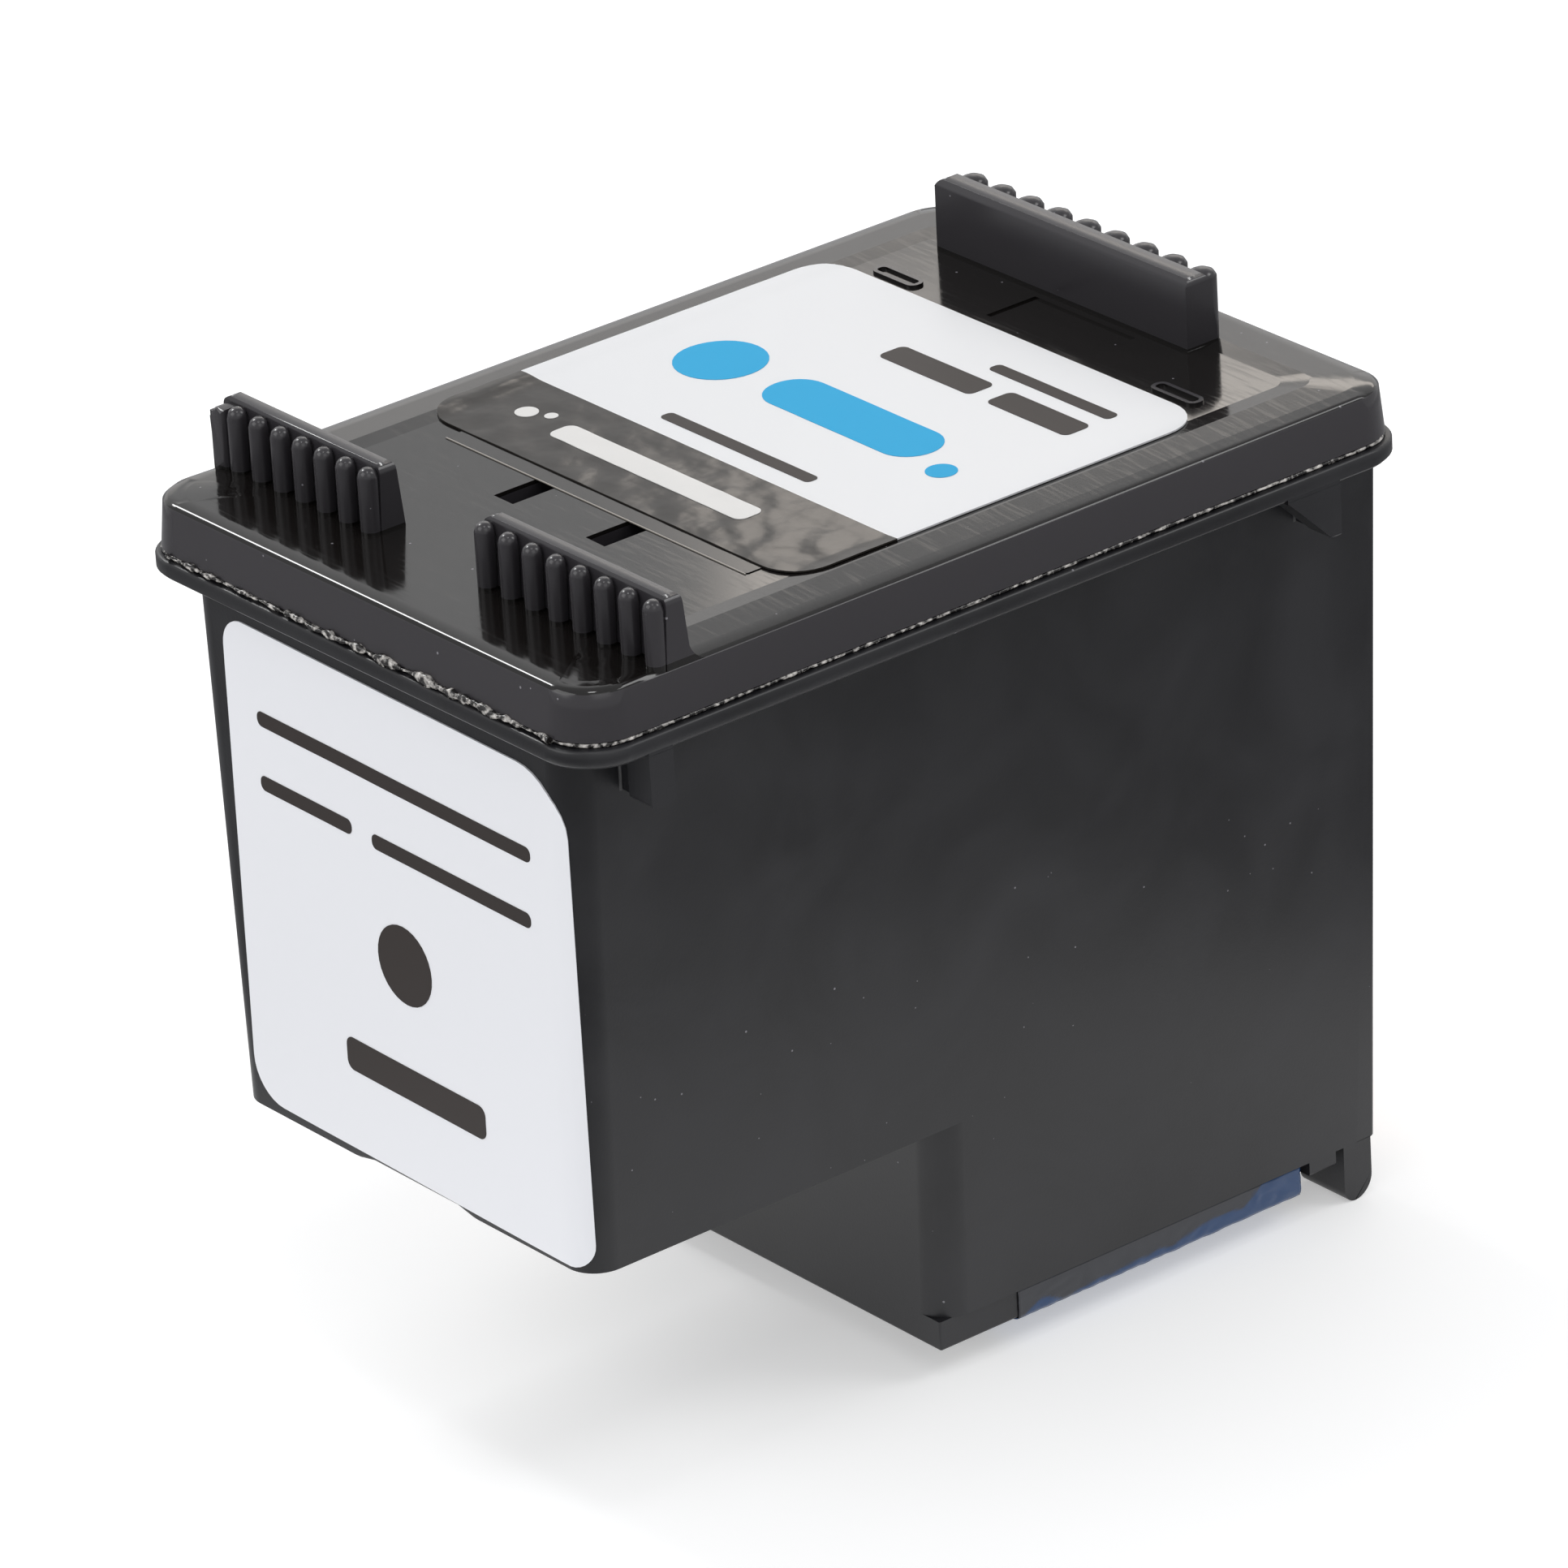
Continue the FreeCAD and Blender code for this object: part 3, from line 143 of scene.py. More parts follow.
def texture(tree, place, size_mm, detail, distortion=0.0):
    """Noise from 0 to 1 whose features have about this size."""
    made = add_node(tree, "ShaderNodeTexNoise", {"Vector": place, "Scale": 1 / (size_mm * MM),
                                                 "Detail": detail, "Distortion": distortion})
    return made.outputs["Fac"]


def stretch(tree, value, low, high, to_low=0.0, to_high=1.0):
    """What lies between two limits, stretched to a new range and held there."""
    made = add_node(tree, "ShaderNodeMapRange", {"Value": value, "From Min": low, "From Max": high,
                                                 "To Min": to_low, "To Max": to_high})
    return made.outputs["Result"]


def calculate(tree, first, second, operation):
    """One number worked out from two."""
    return add_node(tree, "ShaderNodeMath", {0: first, 1: second}, operation=operation).outputs[0]


def relief(tree, height, strength, depth_mm):
    """A normal that shows a height as bumps of this depth."""
    made = add_node(tree, "ShaderNodeBump", {"Height": height, "Strength": strength,
                                             "Distance": depth_mm * MM})
    return made.outputs["Normal"]


def specks(tree, place, cell_mm, speck_mm):
    """A mask of scattered dust: one speck in some of the cells, of uneven size."""
    cells = add_node(tree, "ShaderNodeTexVoronoi", {"Vector": place, "Scale": 1 / (cell_mm * MM)})
    chance = add_node(tree, "ShaderNodeSeparateColor", {"Color": cells.outputs["Color"]}).outputs[0]
    reach = stretch(tree, chance, 0.5, 1.0, 0.0, speck_mm / cell_mm)
    return calculate(tree, cells.outputs["Distance"], reach, "LESS_THAN")


def blend(tree, mask, first, second):
    """One colour where the mask is 0 and another where it is 1."""
    return add_node(tree, "ShaderNodeMix", {"Factor": mask, 6: first, 7: second}, data_type="RGBA").outputs[2]


def spark_eroded_plastic():
    """Black ABS from a spark-eroded mould: a fine satin grain with faint handling smears and dust."""
    material, tree, place = new_material("spark_eroded_black_abs")
    smears = texture(tree, place, size_mm=9, detail=5.0, distortion=0.8)
    plain = blend(tree, stretch(tree, smears, 0.35, 0.68), hex_colour(BODY_DEEP), hex_colour(BODY_SMEARED))
    tint = blend(tree, specks(tree, place, cell_mm=1.1, speck_mm=0.06), plain, hex_colour(DUST_PALE))
    gloss = stretch(tree, smears, 0.3, 0.7, to_low=0.33, to_high=0.43)
    grain = texture(tree, place, size_mm=0.16, detail=3.0)
    close_material(tree, {"Base Color": tint, "Roughness": gloss, "IOR": 1.52,
                          "Normal": relief(tree, grain, strength=0.4, depth_mm=0.012)})
    return material


def polished_plastic():
    """Black ABS: mirror gloss with orange peel and hair scratches on top, satin on the sides and grips."""
    material, tree, place = new_material("polished_black_abs")
    lengthened = add_node(tree, "ShaderNodeMapping", {"Vector": place, "Rotation": (0, 0, 0.5),
                                                      "Scale": (1.0, 14.0, 1.0)})
    hairs = texture(tree, lengthened.outputs["Vector"], size_mm=3, detail=5.0)
    height = add_node(tree, "ShaderNodeSeparateXYZ", {"Vector": place}).outputs["Z"]
    over = calculate(tree, height, POLISHED_FROM_Z * MM, "GREATER_THAN")
    under = calculate(tree, height, POLISHED_TO_Z * MM, "LESS_THAN")
    polished = calculate(tree, over, under, "MULTIPLY")
    satin, gloss = 0.24, stretch(tree, hairs, 0.5, 0.75, to_low=0.09, to_high=0.2)
    finish = add_node(tree, "ShaderNodeMix", {"Factor": polished, "A": satin, "B": gloss}).outputs[0]
    base = blend(tree, polished, hex_colour(LID_SATIN), hex_colour(LID_DEEP))
    tint = blend(tree, specks(tree, place, cell_mm=0.9, speck_mm=0.07), base, hex_colour(DUST_PALE))
    orange_peel = texture(tree, place, size_mm=3.5, detail=1.0)
    close_material(tree, {"Base Color": tint, "Roughness": finish, "IOR": 1.53,
                          "Normal": relief(tree, orange_peel, strength=0.2, depth_mm=0.01)})
    return material


def coated_paper(name, code, roughness, wave_mm, depth_mm, shine=0.5):
    """Coated label paper: bright, smooth, with the faint waves that glue leaves under it."""
    material, tree, place = new_material(name)
    waves = texture(tree, place, wave_mm, detail=2.0)
    close_material(tree, {"Base Color": hex_colour(code), "Roughness": roughness, "Specular IOR Level": shine,
                          "Normal": relief(tree, waves, 0.5, depth_mm)})
    return material


def plain_finish(name, code, roughness, metallic=0.0, coat=0.0, grain_mm=0.4, bump_mm=0.004, glow=0.0):
    """A finish of one colour with a slight grain, for films, metals, resins and the studio."""
    material, tree, place = new_material(name)
    grain = texture(tree, place, grain_mm, detail=2.0)
    close_material(tree, {"Base Color": hex_colour(code), "Roughness": roughness, "Metallic": metallic,
                          "Coat Weight": coat, "Emission Color": hex_colour(WHITE), "Emission Strength": glow,
                          "Normal": relief(tree, grain, 0.3, bump_mm)})
    return material


def tape_film():
    """Thin blue polyester: near black where it lies on the black base, blue where it stands off it."""
    material, tree, place = new_material("blue_polyester_film")
    lift = add_node(tree, "ShaderNodeAttribute", attribute_name="stands_off").outputs["Fac"]
    crinkle = texture(tree, place, size_mm=0.9, detail=3.0, distortion=1.0)
    close_material(tree, {"Base Color": blend(tree, lift, hex_colour(TAPE_STUCK), hex_colour(TAPE_FREE)),
                          "Roughness": 0.22, "IOR": 1.6,
                          "Normal": relief(tree, crinkle, strength=0.4, depth_mm=0.03)})
    return material


def torn_flash():
    """Black plastic squeezed out by the weld and torn, with pale patches from noise painted over it as glints.
    """
    material, tree, place = new_material("torn_weld_flash")
    tears = texture(tree, place, size_mm=0.35, detail=4.0)
    # Painted glints: where the noise is high the black turns pale, standing in for highlights
    thin = stretch(tree, tears, 0.46, 0.66)
    close_material(tree, {"Base Color": blend(tree, thin, hex_colour(FLASH_BLACK), hex_colour(FLASH_PAINTED_GLINT)),
                          "Roughness": 0.2, "IOR": 1.53,
                          "Normal": relief(tree, tears, strength=0.6, depth_mm=0.08)})
    return material


BODY = spark_eroded_plastic()
LID = polished_plastic()
BLUE_TAPE = tape_film()
FLASH = torn_flash()

# Papers and print: colour, roughness, the waves' size and depth in millimetres, and specular level
LABEL_WHITE = coated_paper("white_coated_paper", "#d6d7d9", 0.28, 3.0, 0.03, 0.3)
END_WHITE = coated_paper("white_label_paper", "#e2e3e7", 0.40, 4.0, 0.01)
LABEL_BAND = coated_paper("dark_printed_band", "#2a2724", 0.13, 1.9, 0.05, 0.24)
PRINT_DARK = coated_paper("dark_print", "#373230", 0.4, 3.0, 0.012, 0.15)
PRINT_BLUE = coated_paper("blue_print", "#0f9ccd", 0.4, 3.0, 0.012, 0.12)
PRINT_WHITE = coated_paper("white_print", "#d0cfcd", 0.30, 3.0, 0.012, 0.3)

# Films, metals and resins: colour and roughness
CLEAR_FILM = plain_finish("clear_film_on_black", "#1a1817", 0.14, grain_mm=1.0)
FILM_EDGE_HIGHLIGHT = plain_finish("painted_highlight_on_film_edge", "#8b867f", 0.30, grain_mm=0.5)
# A pale colour painted along the seal film's front edge as its highlight
POLYIMIDE = plain_finish("amber_polyimide", "#7d4312", 0.22, coat=0.4, grain_mm=0.8)
COPPER_UNDER_FILM = plain_finish("copper_under_polyimide", "#b4712c", 0.30, metallic=0.7, grain_mm=0.3)
GOLD = plain_finish("gold_plating", "#d9b24f", 0.36, metallic=0.7, grain_mm=0.2)
STEEL_MESH = plain_finish("woven_stainless", "#a3a5a7", 0.35, metallic=1.0, grain_mm=0.1, bump_mm=0.03)
FOAM = plain_finish("ink_soaked_foam", "#14161d", 0.75, grain_mm=0.5, bump_mm=0.3)
SILICON = plain_finish("polished_silicon", "#50555c", 0.12, metallic=0.6)
RESIN_BLACK = plain_finish("black_potting_resin", "#121214", 0.20, coat=0.4)


def crown(x, y):
    """Height of the lid's top over a point, all in millimetres."""
    inset = min(LID_HALF_X - abs(x), LID_HALF_Y - abs(y))
    for (near, low), (far, high) in zip(CROWN_STEPS, CROWN_STEPS[1:]):
        if inset < far:
            return LID_EDGE_Z + low + (high - low) * max(0.0, inset - near) / (far - near)
    return LID_EDGE_Z + CROWN_STEPS[-1][1]


def wall_half(z):
    """Half the width between the side walls at a height."""
    return WALL_HALF_TOP - math.tan(SIDE_DRAFT) * (WALL_TOP_Z - z)


def rear_wall(z):
    """Where the rear wall's outside stands at a height."""
    return REAR_TOP_Y - math.tan(REAR_DRAFT) * (WALL_TOP_Z - z)


def make_object(name, mesh, material):
    """An object at the origin that shows a mesh."""
    made = bpy.data.objects.new(name, mesh)
    bpy.context.scene.collection.objects.link(made)
    if material:
        mesh.materials.clear()
        mesh.materials.append(material)
    return made


def settle(piece, slot, *nodes):
    """Ties a finished piece to the part and hides the CAD nodes that it stands for; the slot is not used."""
    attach(piece, "root")
    if nodes:
        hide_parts(*nodes)
    return piece


def write_faces(work, mesh, smooth=True, sharp_from=NEVER_SHARP):
    """Turns the faces outwards, shades them smooth up to an angle, and writes them to the mesh."""
    bmesh.ops.recalc_face_normals(work, faces=work.faces)
    for face in work.faces:
        face.smooth = smooth
    for edge in work.edges:
        edge.smooth = edge.calc_face_angle(0.0) < sharp_from
    work.to_mesh(mesh)
    work.free()


def solid_mesh(name, verts, faces, **shading):
    """A closed mesh from points in millimetres, shaded as write_faces does."""
    mesh = bpy.data.meshes.new(name)
    mesh.from_pydata([Vector(spot) * MM for spot in verts], [], faces)
    mesh.validate()
    work = bmesh.new()
    work.from_mesh(mesh)
    write_faces(work, mesh, **shading)
    return mesh


def bake_modifiers(piece):
    """The piece's evaluated mesh takes the place of its mesh and modifiers."""
    graph = bpy.context.evaluated_depsgraph_get()
    mesh = bpy.data.meshes.new_from_object(piece.evaluated_get(graph))
    piece.modifiers.clear()
    piece.data = mesh
    return piece


def cut_crown(work, at_y):
    """Cuts the crown's faces across, so that the part in front of the cut can take another shape."""
    low, high = CROWN_BAND
    crown_faces = {face for face in work.faces
                   if all(low < vert.co.z / MM - LID_EDGE_Z < high for vert in face.verts)}
    edges = {edge for face in crown_faces for edge in face.edges}
    verts = {vert for face in crown_faces for vert in face.verts}
    bmesh.ops.bisect_plane(work, geom=list(crown_faces | edges | verts), dist=0.001 * MM,
                           plane_co=(0, at_y * MM, 0), plane_no=(0, 1, 0))


def mark_edges(work, width_mm, crease_above_z):
    """Weights the clean sharp edges for the bevel, and keeps level creases above a height sharp."""
    weight = work.edges.layers.float.new("bevel_weight_edge")
    for edge in work.edges:
        if len(edge.link_faces) != 2:
            continue
        angle = edge.calc_face_angle(0.0)
        start, end = edge.verts
        level = abs(start.co.z - end.co.z) < SAME_SPOT
        crease = (crease_above_z and level and start.co.z > crease_above_z * MM
                  and CREASE_FROM < angle < CREASE_TO)
        edge.smooth = not (angle > SHARP_ABOVE or crease)
        shortest = min(other.calc_length() for vert in edge.verts for other in vert.link_edges)
        clean = all(len(vert.link_edges) == 3 for vert in edge.verts) and shortest > 3 * width_mm * MM
        edge[weight] = 1.0 if angle > SHARP_ABOVE and clean else 0.0


def softened_copy(node, name, material, width_mm, reshape, crease_above_z=None, cut_at=None):
    """A copy of a CAD node: curved faces smooth, and each clean long edge broken as a mould breaks it."""
    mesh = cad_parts[node].data.copy()
    work = bmesh.new()
    work.from_mesh(mesh)
    bmesh.ops.remove_doubles(work, verts=work.verts, dist=SAME_SPOT)
    if cut_at:
        cut_crown(work, cut_at)
    for vert in work.verts:
        vert.co = reshape(vert.co)
    bmesh.ops.dissolve_limit(work, angle_limit=FLAT_WITHIN, verts=work.verts, edges=work.edges)
    for face in work.faces:
        face.smooth = True
    mark_edges(work, width_mm, crease_above_z)
    work.to_mesh(mesh)
    work.free()
    if "custom_normal" in mesh.attributes:
        mesh.attributes.remove(mesh.attributes["custom_normal"])
    piece = make_object(name, mesh, material)
    bevel = piece.modifiers.new("broken_edges", "BEVEL")
    bevel.limit_method = "WEIGHT"
    bevel.width = width_mm * MM
    bevel.segments = 2
    piece.modifiers.new("flat_faces_stay_flat", "WEIGHTED_NORMAL").keep_sharp = True
    return bake_modifiers(piece)


def without_front_ridge(spot):
    """A point of the lid, in metres, with the crown's ridge faded out along the front edge."""
    faded_at = CROWN_STEPS[3][0] - LID_HALF_Y
    fade = min(1.0, max(0.0, (spot.y / MM - faded_at) / (CROWN_CUT_Y - faded_at)))
    above = spot.z / MM - LID_EDGE_Z
    for (_, rise), faded in zip(CROWN_STEPS[1:4], FADED_RISES):
        if abs(above - rise) < STEP_WITHIN:
            return Vector((spot.x, spot.y, (LID_EDGE_Z + faded + (rise - faded) * fade) * MM))
    return spot


def with_tighter_rear_corners(spot):
    """A point of the body, in metres, with the rear corners rounded less and the feet drawn in to them."""
    x, y, z = spot / MM
    if z > WALL_TOP_Z + NEARLY:
        return spot
    half, rear = wall_half(max(z, FEET_TOP_Z)), rear_wall(max(z, FEET_TOP_Z))
    if z < FEET_TOP_Z + NEARLY and abs(abs(x) - half) < NEARLY and y > rear - FOOT_REACH:
        return Vector((x, y - FOOT_DRAWN_IN, z)) * MM
    past_x, past_y = abs(x) - half + REAR_CORNER, y - rear + REAR_CORNER
    if z < FEET_TOP_Z - NEARLY or past_x < -NEARLY or past_y < -NEARLY:
        return spot
    share = TIGHT_CORNER / REAR_CORNER
    return Vector((math.copysign(half - TIGHT_CORNER + past_x * share, x),
                   rear - TIGHT_CORNER + past_y * share, z)) * MM


def arc(middle, radius, degrees):
    """Points on a circle at the given angles."""
    turns = [math.radians(angle) for angle in degrees]
    return [(middle[0] + radius * math.cos(turn), middle[1] + radius * math.sin(turn)) for turn in turns]


def outline(x0, x1, y0, y1, rounds, turn=0.0, steps=8):
    """Points round a rectangle with rounded corners, turned about its middle."""
    corners = ((x0, y0, 180), (x1, y0, 270), (x1, y1, 0), (x0, y1, 90))
    inward = ((1, 1), (-1, 1), (-1, -1), (1, -1))
    rounds = rounds if isinstance(rounds, tuple) else (rounds,) * 4
    middle = ((x0 + x1) / 2, (y0 + y1) / 2)
    points = []
    for (x, y, start), (sx, sy), r in zip(corners, inward, rounds):
        for spot in arc((x + sx * r, y + sy * r), r, [start + 90 * step / steps for step in range(steps + 1)]):
            px, py = spot[0] - middle[0], spot[1] - middle[1]
            points.append((middle[0] + px * math.cos(turn) - py * math.sin(turn),
                           middle[1] + px * math.sin(turn) + py * math.cos(turn)))
    return points


def stepped(loop, pitch):
    """Points along a closed loop, no further apart than the pitch."""
    dense = []
    for (ax, ay), (bx, by) in zip(loop, loop[1:] + loop[:1]):
        count = max(1, math.ceil(math.hypot(bx - ax, by - ay) / pitch))
        dense += [(ax + (bx - ax) * i / count, ay + (by - ay) * i / count) for i in range(count)]
    return dense


def inside(point, loop):
    """Whether a flat point lies inside a closed loop."""
    hit = False
    x, y = point
    for (ax, ay), (bx, by) in zip(loop, loop[1:] + loop[:1]):
        if (ay > y) != (by > y) and x < (bx - ax) * (y - ay) / (by - ay) + ax:
            hit = not hit
    return hit


def filled(loop, pitch):
    """Triangles over a loop: their corners lie along it and on a grid inside it, a pitch apart."""
    dense = stepped(loop, pitch)
    rim = [Vector(spot) for spot in dense]
    grid = []
    x0, x1 = min(spot.x for spot in rim), max(spot.x for spot in rim)
    y0, y1 = min(spot.y for spot in rim), max(spot.y for spot in rim)
    for i in range(1, int((x1 - x0) / pitch) + 1):
        for j in range(1, int((y1 - y0) / pitch) + 1):
            spot = Vector((x0 + i * pitch, y0 + j * pitch))
            if inside(spot, dense) and min((near - spot).length for near in rim) > 0.45 * pitch:
                grid.append(spot)
    edges = [(i, (i + 1) % len(rim)) for i in range(len(rim))]
    flat, _, cells, _, _, _ = geometry.delaunay_2d_cdt(rim + grid, edges, [], 1, 1e-6)
    return flat, cells


def draped(name, loops, surface, low, high, pitch, material):
    """Closed thin pieces cut to outlines and laid on a surface: surface(u, v, height) gives millimetres."""
    verts, faces = [], []
    for loop in loops:
        flat, cells = filled(loop, pitch)
        first, count = len(verts), len(flat)
        verts += [surface(p.x, p.y, high) for p in flat] + [surface(p.x, p.y, low) for p in flat]
        faces += [[first + i for i in cell] for cell in cells]
        faces += [[first + count + i for i in reversed(cell)] for cell in cells]
        border = {}
        for cell in cells:
            for a, b in zip(cell, cell[1:] + cell[:1]):
                if (b, a) in border:
                    del border[(b, a)]
                else:
                    border[(a, b)] = True
        faces += [[first + b, first + a, first + count + a, first + count + b] for a, b in border]
    return make_object(name, solid_mesh(name, verts, faces, sharp_from=SHEET_SHARP), material)


def ripple(x, y, size, depth, seed=0.0):
    """Smooth waves of a size and depth."""
    return depth * noise.noise(Vector((x / size, y / size, seed)))


def top_surface(x, y, height):
    """The lid's top with what the glue does to a label on it: small waves, hammered towards the front."""
    hammered = min(1.0, max(0.0, (-3.0 - y) / 3.0))
    wave = ripple(x, y, 1.5, 0.022) * hammered + ripple(x + y, y * 0.35, 2.6, 0.012, 3.0)
    return (x, y, crown(x, y) + GLUE_UNDER_LABEL + height + wave)


def lid_surface(x, y, height):
    """The lid's top as it is."""
    return (x, y, crown(x, y) + height)


def front_surface(x, z, height):
    """The front wall, carried on round its right-hand corner."""
    straight = wall_half(z) - WALL_ROUND
    wave = ripple(x, z, 6.0, 0.02, 7.0)
    if x <= straight:
        return (x, WALL_FRONT_Y - height - wave, z)
    angle = (x - straight) / WALL_ROUND
    reach = WALL_ROUND + height + wave
    return (straight + reach * math.sin(angle), WALL_FRONT_Y + WALL_ROUND - reach * math.cos(angle), z)


def make_top_label():
    """White label with a dark band towards the front; the print is plain bars and dots."""
    left, right, front, band_rear, rear = -14.95, 14.0, -10.2, -3.8, 15.85
    white = draped("top_label_white", [outline(left, right, band_rear, rear, (0.01, 0.01, 2.5, 2.2))],
                   top_surface, 0.0, LABEL_THICK, 0.4, LABEL_WHITE)
    settle(white, "label_face", "top_label")
    dark = draped("top_label_band", [outline(left, right, front, band_rear, (2.3, 2.3, 0.01, 0.01))],
                  top_surface, 0.0, LABEL_THICK, 0.35, LABEL_BAND)
    settle(dark, "label_face")
    prints = (
        ("print_blue", PRINT_BLUE, [outline(-11.2, -6.4, 1.5, 6.3, 2.39), outline(-4.6, 7.4, 2.2, 5.6, 1.69),
                                    outline(8.6, 10.2, 2.0, 3.6, 0.79)]),
        ("print_dark", PRINT_DARK, [outline(-3.6, 3.4, 9.6, 11.3, 0.4), outline(4.6, 10.6, 9.6, 11.3, 0.4),
                                    outline(1.6, 10.6, 12.3, 13.1, 0.3), outline(-5.6, 5.8, -2.6, -1.8, 0.3)]),
        ("print_white", PRINT_WHITE, [outline(-8.0, 6.9, -7.7, -6.1, 0.5),
                                      outline(-11.4, -10.2, -7.3, -6.1, 0.59),
                                      outline(-9.9, -9.2, -6.5, -5.8, 0.34)]),
    )
    for name, material, loops in prints:
        settle(draped(name, loops, top_surface, PRINT_LOW, PRINT_HIGH, 0.4, material), "label_face")


def make_end_label():
    """White label on the front that wraps round the corner, set slightly askew as in life."""
    turn = math.radians(-0.7)
    sheet = draped("end_label_paper", [outline(-12.2, 14.0, 14.3, 40.45, (2.2, 1.3, 3.2, 1.6), turn)],
                   front_surface, 0.0, LABEL_THICK, 0.6, END_WHITE)
    settle(sheet, "end_label_face", "end_label")
    loops = [
        outline(-9.7, 11.6, 35.3, 36.1, 0.35, turn),
        outline(-9.8, -2.6, 31.9, 32.7, 0.35, turn),
        outline(-1.0, 11.3, 31.7, 32.5, 0.35, turn),
        outline(-1.2, 3.0, 24.0, 28.2, 2.09, turn),
        outline(-4.4, 6.5, 18.7, 20.5, 0.5, turn),
    ]
    settle(draped("end_label_print", loops, front_surface, PRINT_LOW, PRINT_HIGH, 0.5, PRINT_DARK),
           "end_label_face")


def make_seal_film():
    """The clear seal film that shows in front of the label: black lid through it, and along its front edge a
    pale strip that is a painted highlight.
    """
    left, right, rear, front, cut = -11.4, 11.7, -7.0, -11.2, -11.27
    film = draped("seal_film", [outline(left, right, front, rear, 0.2)], lid_surface, 0.0, SEAL_THICK, 0.6,
                  CLEAR_FILM)
    settle(film, "seal_film", "vent_seal_film")
    # A pale strip just in front of the film: a painted highlight along its edge
    edge = draped("seal_film_painted_highlight", [outline(left, right, cut, front, 0.01)], lid_surface, 0.0, SEAL_THICK,
                  0.6, FILM_EDGE_HIGHLIGHT)
    settle(edge, "seal_film")


def make_prisms(name, pairs, material, slot, round_mm=0.0):
    """Solids between matching outlines in millimetres; the edges of each first outline can be rounded."""
    work = bmesh.new()
    for near, far in pairs:
        first, second = [[work.verts.new(Vector(spot) * MM) for spot in end] for end in (near, far)]
        cap = work.faces.new(first)
        work.faces.new(second)
        for corners in zip(first, first[1:] + first[:1], second[1:] + second[:1], second):
            work.faces.new(corners)
        if round_mm:
            bmesh.ops.bevel(work, geom=list(cap.edges), offset=round_mm * MM, segments=3, profile=0.5,
                            affect="EDGES")
    mesh = bpy.data.meshes.new(name)
    write_faces(work, mesh, sharp_from=PRISM_SHARP)
    settle(make_object(name, mesh, material), slot)


def make_grip_flank_blends():
    """The concave feet of the front grips' flanks."""
    rear, foot, radius, root = -19.04, LID_EDGE_Z - 0.02, 1.35, 0.3
    inner, outer = 16.2, 17.13
    curve = [(rear - root, foot), (rear + radius, foot)]
    curve += arc((rear + radius, foot + radius), radius, range(261, 179, -9))
    curve.append((rear - root, foot + radius))
    make_prisms("grip_flank_blends", [([(left, y, z) for y, z in curve], [(right, y, z) for y, z in curve])
                                      for left, right in ((inner, outer), (-outer, -inner))],
                LID, "lid_plastic")


def make_left_grip_end():
    """The smooth left end of the left front grip, in place of a last rib."""
    left, right, front, rear, radius = -17.14, -16.05, -21.08, -20.1, 0.55
    low, top = LID_EDGE_Z + 0.1, LID_EDGE_Z + 3.44
    shoulder = [(left, low), (right, low), (right, top)]
    shoulder += arc((left + radius, top - radius), radius, range(90, 181, 15))
    make_prisms("left_grip_end", [([(x, front, z) for x, z in shoulder], [(x, rear, z) for x, z in shoulder])],
                LID, "lid_plastic", round_mm=0.22)


def make_tab_roots():
    """The roots of the small tabs under the flange, two on each side."""
    inner, outer, low, high = 17.2, 17.69, 41.7, 42.05
    section = ((inner, low), (outer, low), (outer, high), (inner, high))
    roots = [[[(side * x, y, z) for x, z in section] for y in span]
             for side in (1, -1) for span in ((-22.19, -20.76), (17.52, 20.89))]
    make_prisms("tab_roots", roots, BODY, "body_plastic")


TAPE_RIGHT = [Vector(spot) for spot in ((SNOUT_HALF, TAPE_TOP_Z), (SNOUT_HALF, TAPE_BEND_Z),
                                        (LAND_HALF, TAPE_LOW_Z))]
TAPE_PATH = TAPE_RIGHT + [Vector((-spot.x, spot.y)) for spot in reversed(TAPE_RIGHT)]


def tape_point(far, y, lift):
    """A point on the nozzle tape: far runs down the right side, under the land and up the left side."""
    for start, end in zip(TAPE_PATH, TAPE_PATH[1:]):
        length = (end - start).length
        if far <= length + 1e-9 or end is TAPE_PATH[-1]:
            break
        far -= length
    along = (end - start).normalized()
    spot = start + along * far + Vector((-along.y, along.x)) * lift
    return (spot.x, y, max(spot.y, TAPE_LOWEST))


def hill(value, middle, half):
    """A smooth bump of height 1 round a middle, 0 beyond half its width."""
    near = max(0.0, 1 - abs(value - middle) / half)
    return near * near * (3 - 2 * near)


def tape_stands_off(down, y):
    """How far the film stands off the base: 0 where it is stuck, 1 where it spans; down is from its edge."""
    # The line below which it spans wanders, and rises at the rear end and near the front
    wander = 0.45 * noise.noise(Vector((y / 2.6, 0.0, 5.0))) + 0.2 * noise.noise(Vector((y / 0.8, 0.0, 8.0)))
    rises = 1.7 * hill(y, 19.5, 3.4) + 0.5 * hill(y, 3.2, 1.6)
    free_from = 1.4 - 0.06 * max(0.0, y - 5.0) + 0.6 * wander - rises
    off = min(1.0, max(0.0, (down - free_from) / 0.12))
    # A slanting streak and a loop over the line stand off too, and a blot under it is stuck
    streak = hill(y, 13.6, 1.5) * hill(down - 0.9 + 0.12 * (y - 13.6), 0.0, 0.16)
    loop = hill(y, 17.3, 0.5) * hill(down, 0.55, 0.5)
    blot = hill(y, 4.2, 1.7) * hill(down, 1.75, 0.3)
    return max(0.0, min(1.0, max(off, 0.9 * streak, 0.8 * loop) - blot))


def tape_crease(down, y, free):
    """How far the film's creases rise, most where it stands off and near its upper edge."""
    fold = abs(noise.noise(Vector((down / 0.7, y / 1.4, 9.0))))
    kink = 0.5 * hill(y, 17.3, 0.35) * hill(down, 0.6, 0.5)
    glint = 0.5 * hill(y, 2.9, 0.45) * hill(down, 0.75 + 0.25 * (y - 2.9) ** 2, 0.12)
    return (0.16 * (fold + kink) + 0.12 * glint) * (0.35 + 0.65 * free) * hill(down, 0.9, 1.7)


